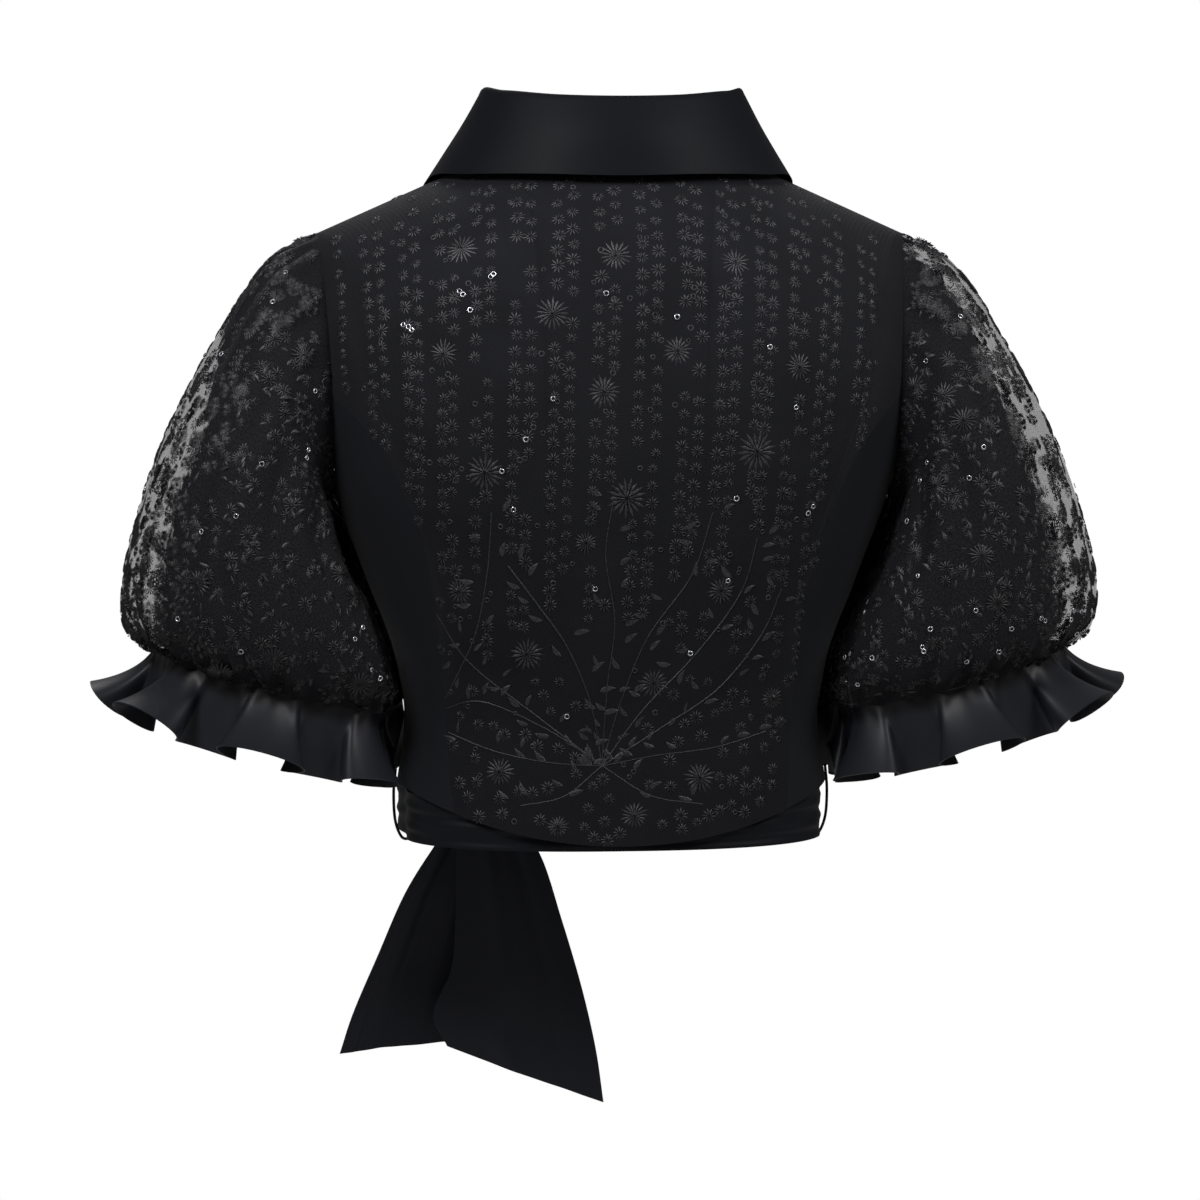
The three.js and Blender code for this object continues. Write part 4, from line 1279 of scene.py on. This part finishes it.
def leaf_motif(steps=5):
    """Slim leaf with a raised middle, one long from its foot."""
    t = np.linspace(0, 1, steps + 1)
    half = 0.17 * np.sin(math.pi * t ** 0.8)
    bow = 0.08 * np.sin(math.pi * t)
    rows = [np.stack([t, bow + half * k, (1 - abs(k)) * np.ones_like(t)], -1) for k in (-1, 0, 1)]
    dots = np.concatenate(rows)
    n = steps + 1
    faces = [[k * n + i, k * n + i + 1, (k + 1) * n + i + 1, (k + 1) * n + i]
             for k in (0, 1) for i in range(steps)]
    return dots, np.array(faces)


ROSETTE = petals(10, 0.12, 0.6, 0.1)
BURST = petals(17, 0.08, 0.6, 0.07)
EYELET = ring_motif(8, 0.2)
SEQUIN = ring_motif(10, 0.19)
LEAF = leaf_motif()


def scatter(batch, motif, surface, u, v, size, relief, lift, mirror=False, turn=None, spread=0.18,
            bend=300):
    if not len(u):
        return
    turn = rng.uniform(0, TURN, len(u)) if turn is None else turn
    sizes = size * rng.uniform(1 - spread, 1 + spread, len(u))
    heights = relief * rng.uniform(0.7, 1.25, len(u))
    frames = frames_on(surface, u, v, lift, mirror)
    stamp(batch, *motif, frames, turn, sizes, heights, mirror, bend)


CORD_RIDGE = ((-1, 0), (-0.4, 0.8), (0.4, 0.8), (1, 0))
CORD_WAVER = 0.15


def stitched(batch, surface, u, v, width, lift, mirror=False):
    """Corded line through u, v: a low ridge of three strips that wavers a little."""
    place, out = frames_on(surface, u, v, lift, mirror)[:2]
    ahead = unit(np.gradient(place, axis=0))
    side = unit(np.cross(out, ahead)) * (-1 if mirror else 1)
    width = np.broadcast_to(width, (len(u),))[:, None]
    place = place + side * rng.normal(0, CORD_WAVER, (len(u), 1)) * width
    dots = np.stack([place + side * width * k + out * h * width for k, h in CORD_RIDGE], 1)
    index = np.arange(len(u) - 1)[:, None] * 4 + np.arange(3)
    faces = np.stack([index, index + 4, index + 5, index + 1], -1).reshape(-1, 4)
    batch.add(dots, faces[:, ::-1] if mirror else faces)


FIND_LIMITS = (0.008, 0.99)
FIND_ROUNDS = 5
FIND_NEAR = 0.6


def flat_finder(surface, columns=40, rows=40):
    """Looks up u, v for points given as x and z on a panel, and whether they lie on it."""
    low, high = FIND_LIMITS
    grid_u, grid_v = np.meshgrid(np.linspace(0.01, high, columns), np.linspace(0.01, high, rows))
    known = surface(grid_u, grid_v)[0][..., (0, 2)].reshape(-1, 2)
    step = 1e-4

    def at(u, v):
        return surface(u[None], v[None])[0][0][:, (0, 2)]

    def find(x, z):
        target = np.stack([x, z], -1)
        near = ((known[None] - target[:, None]) ** 2).sum(-1).argmin(1)
        u, v = grid_u.ravel()[near], grid_v.ravel()[near]
        for _ in range(FIND_ROUNDS):
            here = at(u, v)
            by_u, by_v = (at(u + step, v) - here) / step, (at(u, v + step) - here) / step
            size = by_u[:, 0] * by_v[:, 1] - by_u[:, 1] * by_v[:, 0]
            size = np.where(abs(size) < 1, 1, size)
            gap = target - here
            u = np.clip(u + (gap[:, 0] * by_v[:, 1] - gap[:, 1] * by_v[:, 0]) / size, low, high)
            v = np.clip(v + (gap[:, 1] * by_u[:, 0] - gap[:, 0] * by_u[:, 1]) / size, low, high)
        return u, v, np.linalg.norm(at(u, v) - target, axis=1) < FIND_NEAR

    return find


# Layout on a body panel: rows of rosettes fan upwards from a focus low on the panel, with bare
# leaves between groups of rows, bursts and eyelets here and there, and corded stems from the focus
def fan_rows(focus, rows, top, pitch):
    """Points along rows that leave the focus and straighten upwards, as x and z."""
    xs, zs = [], []
    for foot, head, z, lean in rows:
        while z < top:
            t = (z - focus[1]) / (top - focus[1])
            x = mix(foot, head, ease(t) * 0.45 + t * 0.55) + lean * math.sin(math.pi * t)
            xs.append(x + rng.normal(0, 0.5))
            zs.append(z + rng.normal(0, 0.5))
            z += pitch * rng.uniform(0.93, 1.09)
    return np.array(xs), np.array(zs)


def away_from(x, z, blobs):
    keep = np.ones(len(x), bool)
    for bx, bz, radius in blobs:
        keep &= (x - bx) ** 2 + (z - bz) ** 2 > radius ** 2
    return keep


LEAVES = table(
    "x z turn length width",
    (-96, -150, 80, 74, 9), (-70, -216, 84, 62, 8), (-38, -128, 88, 66, 9), (-8, -196, 92, 58, 8),
    (26, -120, 95, 70, 9), (54, -182, 99, 66, 9), (88, -136, 104, 72, 9), (104, -222, 112, 56, 8),
    (-112, -92, 74, 46, 7), (116, -84, 106, 48, 7), (-52, -70, 88, 44, 7), (62, -64, 96, 44, 7),
    (-20, -276, 86, 40, 6), (38, -268, 101, 44, 6), (-84, -292, 62, 40, 6), (92, -300, 128, 44, 6),
)


def in_leaf(x, z, leaves):
    inside = np.zeros(len(x), bool)
    for lx, lz, turn, length, width in zip(*leaves.values()):
        a = math.radians(turn)
        along = (x - lx) * math.cos(a) + (z - lz) * math.sin(a)
        across = (z - lz) * math.cos(a) - (x - lx) * math.sin(a)
        inside |= (along / (length / 2)) ** 2 + (across / (width / 2)) ** 2 < 1
    return inside


BACK_FOCUS = (13.6, -368.0)
BACK_FOOT = (13, -368)
BACK_STEMS = (
    (BACK_FOOT, (-22, -346), (-58, -322), (-84, -290), (-96, -262)),
    (BACK_FOOT, (-12, -334), (-44, -300), (-70, -264), (-80, -230)),
    (BACK_FOOT, (2, -330), (-14, -290), (-40, -252), (-52, -214)),
    (BACK_FOOT, (20, -330), (34, -296), (52, -270), (70, -246)),
    (BACK_FOOT, (10, -320), (6, -280), (12, -240), (8, -206)),
    (BACK_FOOT, (46, -346), (84, -330), (108, -336)),
    (BACK_FOOT, (52, -338), (92, -306), (112, -276)),
    ((110, -338), (98, -312), (88, -286), (82, -250), (80, -214)),
    (BACK_FOOT, (-20, -362), (-56, -358), (-88, -350)),
    (BACK_FOOT, (44, -366), (76, -360), (104, -350)),
    (BACK_FOOT, (-16, -386), (-48, -392)),
    (BACK_FOOT, (36, -386), (62, -392)),
)
BACK_BURSTS = (
    (0, -205, 15), (-30, -118, 14), (44, -96, 13), (-78, -178, 14), (84, -190, 13), (14, -142, 12),
    (-104, -128, 12), (108, -120, 13), (-58, -262, 13), (58, -300, 12), (-92, -330, 12),
    (-6, -398, 12), (40, -404, 11), (-46, -376, 12), (74, -372, 12), (6, -62, 12), (-66, -66, 12),
    (96, -58, 11), (-18, -318, 11), (98, -262, 11), (24, -232, 11),
)


def sprinkle(low, high, count, apart):
    """Uneven spots in a rectangle, each some way from the others."""
    kept = np.empty((0, 2))
    for spot_at in rng.uniform(low, high, (count, 2)):
        if not len(kept) or ((kept - spot_at) ** 2).sum(1).min() > apart ** 2:
            kept = np.vstack([kept, spot_at])
    return kept.T


def along_stem(stops, step):
    stops = np.array(stops, float)
    t = np.linspace(0, 1, max(6, int(lengths(stops)[-1] / step)))
    return along_rows(stops[:, 0], t), along_rows(stops[:, 1], t)


# Motifs of the panels: size and height in millimetres. A burst fills a share of its radius and has
# a rosette at its heart. Corded stitches and leaves follow the stems, which other motifs keep off
ROSETTE_SIZE = (4.4, 0.75)
LEAF_SIZE = (9, 0.5)
EYELET_SIZE = (1.7, 0.5)
SEQUIN_SIZE = (1.7, 0.45)
SEQUIN_SPREAD = 0.1
SEQUIN_LIFT = 0.7
BURST_SHARE, BURST_HEIGHT = 0.82, 0.85
HEART_SHARE, HEART_HEIGHT = 0.36, 1.5
STEM_WIDTH = 0.36
STEM_LIFT = 0.1
STEM_CLEAR = 4.6
STEM_STEPS = {"clear": 6, "stitches": 1.6, "leaves": 11}
LOW_ROSETTES = (420, 7.5)


def embroider_panel(name, surface, plan, mirror=False):
    """Rosettes, bursts, leaves, stems, eyelets and sequins of one body panel."""
    thread, film = Batch(), Batch()
    find = flat_finder(surface)
    lift = PANEL_CLOTH / 2

    def set_out(batch, motif, x, z, size, height, turn=None, spread=0.18, lift=lift):
        u, v, inside = find(x, z)
        turn = None if turn is None else turn[inside]
        scatter(batch, motif, surface, u[inside], v[inside], size, height, lift, mirror, turn, spread)

    x, z = fan_rows(plan["focus"], plan["rows"], plan["top"], plan["pitch"])
    low_x, low_z = sprinkle(*plan["lower"], *LOW_ROSETTES)
    x, z = np.concatenate([x, low_x]), np.concatenate([z, low_z])
    keep = away_from(x, z, plan["bursts"]) & ~in_leaf(x, z, plan["leaves"])
    for stem in plan["stems"]:
        spots = zip(*along_stem(stem, STEM_STEPS["clear"]))
        keep &= away_from(x, z, [(*spot_at, STEM_CLEAR) for spot_at in spots])
    set_out(thread, ROSETTE, x[keep], z[keep], *ROSETTE_SIZE)
    for bx, bz, radius in plan["bursts"]:
        set_out(thread, BURST, [bx], [bz], radius * BURST_SHARE, BURST_HEIGHT)
        set_out(thread, ROSETTE, [bx], [bz], radius * HEART_SHARE, HEART_HEIGHT)
    for stem in plan["stems"]:
        u, v, inside = find(*along_stem(stem, STEM_STEPS["stitches"]))
        if inside.sum() > 4:
            stitched(thread, surface, u[inside], v[inside], STEM_WIDTH, lift + STEM_LIFT, mirror)
        sx, sz = along_stem(stem, STEM_STEPS["leaves"])
        side = rng.choice([-1, 1], len(sx)) * rng.uniform(5, 8, len(sx))
        turn = rng.uniform(0.5, 1.3, len(sx)) * np.sign(side) + math.pi / 2
        set_out(thread, LEAF, sx + side, sz + rng.uniform(0, 5, len(sx)), *LEAF_SIZE, turn)
    near = rng.integers(0, len(x), plan["eyelets"])
    ex, ez = x[near] + rng.uniform(-9, 9, len(near)), z[near] + rng.uniform(-9, 9, len(near))
    set_out(thread, EYELET, ex, ez, *EYELET_SIZE)
    set_out(film, SEQUIN, *np.array(plan["sequins"], float).T, *SEQUIN_SIZE, spread=SEQUIN_SPREAD,
            lift=lift + SEQUIN_LIFT)
    return [thread.finish(name + "_embroidery", THREAD, "lace_on_ground"),
            film.finish(name + "_sequins", SEQUINS, "lace_on_ground")]


def fan(count, foot_span, head_span, focus, start):
    """Rows in pairs, each with its foot and head, where it begins and how far it leans."""
    rows = []
    for k in range(count):
        s = 2 * k / (count - 1) - 1
        begin = focus[1] + start + 50 * (1 - abs(s)) + rng.uniform(-14, 14)
        pair = 1.6 * (-1) ** k
        rows.append((focus[0] + foot_span * s + pair, focus[0] * 0.2 + head_span * s + pair, begin,
                     5 * math.sin(5 * s) + rng.uniform(-1, 1)))
    return rows


BACK_SEQUINS = (
    (78, -73), (79.5, -74.5), (96, -85), (98, -83), (92, -94), (128, -104), (131, -103), (126, -106),
    (60, -170), (74, -189), (-102, -152), (67, -212), (-111, -216), (-114, -212), (-62, -256),
    (-86, -116), (-30, -98), (12, -84), (-66, -206), (44, -146), (18, -260), (-40, -300), (34, -338),
)
back_plan = {
    "focus": BACK_FOCUS, "rows": fan(29, 150, 168, BACK_FOCUS, 44), "top": 4, "pitch": 9.6,
    "lower": ((-112, -418), (112, -316)),
    "bursts": BACK_BURSTS, "leaves": LEAVES, "stems": BACK_STEMS, "eyelets": 240,
    "sequins": BACK_SEQUINS,
}

FRONT_FOCUS = (44.0, -372.0)
FRONT_STEMS = (
    (FRONT_FOCUS, (22, -336), (4, -300), (-8, -262)), (FRONT_FOCUS, (50, -330), (62, -292), (88, -256)),
    (FRONT_FOCUS, (82, -350), (112, -322)), (FRONT_FOCUS, (8, -368), (-24, -376)),
)
FRONT_BURSTS = (
    (44, -352, 13), (96, -214, 14), (128, -132, 12), (70, -146, 13), (28, -262, 12), (118, -304, 12),
    (104, -74, 11), (-24, -338, 11), (66, -260, 11),
)


def front_plan():
    return {
        "focus": FRONT_FOCUS, "rows": fan(26, 132, 130, FRONT_FOCUS, 34), "top": 0, "pitch": 9.6,
        "lower": ((-90, -405), (140, -322)),
        "bursts": FRONT_BURSTS, "leaves": LEAVES, "stems": FRONT_STEMS, "eyelets": 120,
        "sequins": rng.uniform((-40, -380), (170, -60), (26, 2)),
    }


embroidery = {
    "back_centre": embroider_panel("back_centre", back_surface, back_plan),
    "front_left": embroider_panel("front_left", front_left_surface, front_plan()),
    "front_right": embroider_panel("front_right", front_right_surface, front_plan(), True),
}


# Layout on a sleeve, in degrees round it from the outside and share of its length.
# Columns of star clusters over the see-through part: turn, how many, and where the first one is
OPEN_COLUMNS = table(
    "at count start", (-45, 9, 0.3), (-31, 10, 0.75), (-16, 9, 0.15), (0, 10, 0.55), (15, 9, 0.9),
    (30, 10, 0.25), (44, 9, 0.65), (-58, 9, 0.5), (57, 9, 0.4),
)
CLUSTER_STARS = 14
CLUSTER_REACH = 6.8
CLUSTER_STRETCH = 1.25
STAR_SIZE = (4.4, 0.7)
DEGREE_WIDTH = 1.35
SLEEVE_LENGTH = 170
# Close rows of rosettes and leaves over the rest, with bursts among them
CLOSE_SPAN = (59, 303)
CLOSE_TURN = 6.6
CLOSE_RISE = 0.052
CLOSE_JITTER = 0.42
CLOSE_ROSETTE = (4.2, 0.8)
CLOSE_LEAF = (6.5, 0.5)
CLOSE_BURST = (9, 0.9)
CLOSE_BURSTS = 36
# Bunches of nine eyelets on both edges of the see-through part
BUNCHES = 22
BUNCH_TURN = 1.85
BUNCH_RISE = 0.0115
BUNCH_SHIFT = 0.0057
BUNCH_EYELET = (1.6, 0.6)
SLEEVE_SEQUINS = 60
# How round the sleeve is under a motif, and how far motifs lie above the net's middle
SLEEVE_BEND = 75
SLEEVE_LIFT = 0.25


def sleeve_scatter(batch, surface, motif, turn, t, size, mirror, spin=None, spread=0.25):
    ok = (t > 0.012) & (t < 0.985)
    spin = None if spin is None else spin[ok]
    scatter(batch, motif, surface, turn[ok] / 360, t[ok], *size, SLEEVE_LIFT, mirror, spin, spread,
            bend=SLEEVE_BEND)


def star_clusters(thread, surface, mirror):
    for at, count, start in zip(*OPEN_COLUMNS.values()):
        middle = (np.arange(count) + start + rng.normal(0, 0.14, int(count))) / count
        reach = rng.uniform(0.75, 1.35, len(middle))
        for k in range(CLUSTER_STARS):
            way = rng.uniform(0, TURN, len(middle))
            off = rng.uniform(0, CLUSTER_REACH, len(middle)) * reach
            turn = at + rng.normal(0, 1.5, len(middle)) + off * np.cos(way) / DEGREE_WIDTH
            t = middle + CLUSTER_STRETCH * off * np.sin(way) / SLEEVE_LENGTH
            sleeve_scatter(thread, surface, BURST if k % 3 else ROSETTE, turn, t, STAR_SIZE, mirror,
                           spread=0.3)


def close_cover(thread, surface, mirror):
    turn, t = np.meshgrid(np.arange(*CLOSE_SPAN, CLOSE_TURN), np.arange(0.03, 0.98, CLOSE_RISE))
    turn = (turn + rng.normal(0, CLOSE_JITTER * CLOSE_TURN, turn.shape)).ravel()
    t = (t + rng.normal(0, CLOSE_JITTER * CLOSE_RISE, t.shape)).ravel()
    sleeve_scatter(thread, surface, ROSETTE, turn, t, CLOSE_ROSETTE, mirror, spread=0.3)
    beside = turn + rng.uniform(-4, 4, len(turn))
    spin = rng.normal(math.pi / 2, 0.7, len(turn))
    sleeve_scatter(thread, surface, LEAF, beside, t + 0.5 * CLOSE_RISE, CLOSE_LEAF, mirror, spin)
    turn, t = rng.uniform(62, 298, CLOSE_BURSTS), rng.uniform(0.05, 0.95, CLOSE_BURSTS)
    sleeve_scatter(thread, surface, BURST, turn, t, CLOSE_BURST, mirror)


def eyelet_bunches(thread, surface, mirror):
    turn = rng.choice([-1, 1], BUNCHES) * rng.uniform(20, 50, BUNCHES)
    t = rng.uniform(0.06, 0.95, BUNCHES)
    for row in (-1, 0, 1):
        for k in (-1, 0, 1):
            rise = k * BUNCH_RISE + BUNCH_SHIFT * (row % 2)
            sleeve_scatter(thread, surface, EYELET, turn + row * BUNCH_TURN, t + rise, BUNCH_EYELET,
                           mirror, spread=0.1)


def embroider_sleeve(name, surface, mirror):
    thread, film = Batch(), Batch()
    for layer in (star_clusters, close_cover, eyelet_bunches):
        layer(thread, surface, mirror)
    turn, t = rng.uniform(-180, 180, SLEEVE_SEQUINS), rng.uniform(0.05, 0.95, SLEEVE_SEQUINS)
    scatter(film, SEQUIN, surface, turn / 360, t, *SEQUIN_SIZE, 1.0, mirror, spread=SEQUIN_SPREAD)
    return [thread.finish(name + "_embroidery", SLEEVE_THREAD, "sheer_lace"),
            film.finish(name + "_sequins", SEQUINS, "sheer_lace")]


for side, mirror in SIDES:
    embroidery[f"sleeve_{side}"] = embroider_sleeve(f"sleeve_{side}", sleeve_surface, mirror)


# Flat sizes: each cut's width and length, and its own area where it isn't a rectangle
HELD = {
    "back_centre": "stretched", "side_back_left": "stretched", "side_back_right": "stretched",
    "front_left": "stretched", "front_right": "stretched", "collar_stand": "folded",
    "collar_fall": "folded", "sleeve_left": "gathered", "sleeve_right": "gathered",
    "ruffle_left": "gathered", "ruffle_right": "gathered", "sash": "folded",
    "sash_tail_front": "hung", "sash_tail_rear": "hung",
}
CUT_MARGIN = 1.04


def flat_cut(obj):
    """Width and length of the rectangle that the cut fits in, and the cut's area, in metres."""
    area = area_of(obj.data) / 2
    width, length = obj["flat"]
    fits = max(1.0, CUT_MARGIN * area / (width * length)) ** 0.5
    return (width * fits, length * fits), area


for name, held in HELD.items():
    flat, area = flat_cut(pieces[name])

# Floor and light
FLOOR_LEVEL = -1.1
FLOOR_HALF = 1.25
ROOM_LIGHT = 0.17

corners = [(x * FLOOR_HALF, y * FLOOR_HALF, FLOOR_LEVEL) for x, y in ((-1, -1), (1, -1), (1, 1), (-1, 1))]
floor_mesh = bpy.data.meshes.new("floor")
floor_mesh.from_pydata(corners, [], [(0, 1, 2, 3)])
floor_mesh.materials.append(Shading("floor", (0.8, 0.8, 0.8), roughness=0.9, specular=0.1).material)
floor = add_object("floor", floor_mesh)


def studio_world():
    """White behind the object, and a dimmer even light on it."""
    world = bpy.data.worlds.new("studio")
    world.use_nodes = True
    made = Graph(world.node_tree)
    seen = made.add("LightPath").outputs["Is Camera Ray"]
    strength = made.add("MapRange", Value=seen, To_Min=ROOM_LIGHT).outputs[0]
    made.feed(made.nodes["Background"], Color=(1, 1, 1, 1), Strength=strength)
    return world


bpy.context.scene.world = studio_world()
bpy.context.scene.view_settings.view_transform = "Standard"


def area_light(name, place, size, power):
    """Round lamp that shines at the camera's aim."""
    data = bpy.data.lights.new(name, "AREA")
    data.shape = "DISK"
    data.size = size
    data.energy = power
    light = add_object(name, data)
    light.location = place
    light.rotation_euler = (Vector(place) - AIM).to_track_quat("Z", "Y").to_euler()


area_light("key", (0.85, 1.0, 0.85), size=0.6, power=20)
area_light("fill", (-1.05, 0.9, 0.8), size=0.7, power=16)
area_light("rim", (0.3, -2.0, 1.8), size=1.4, power=22)
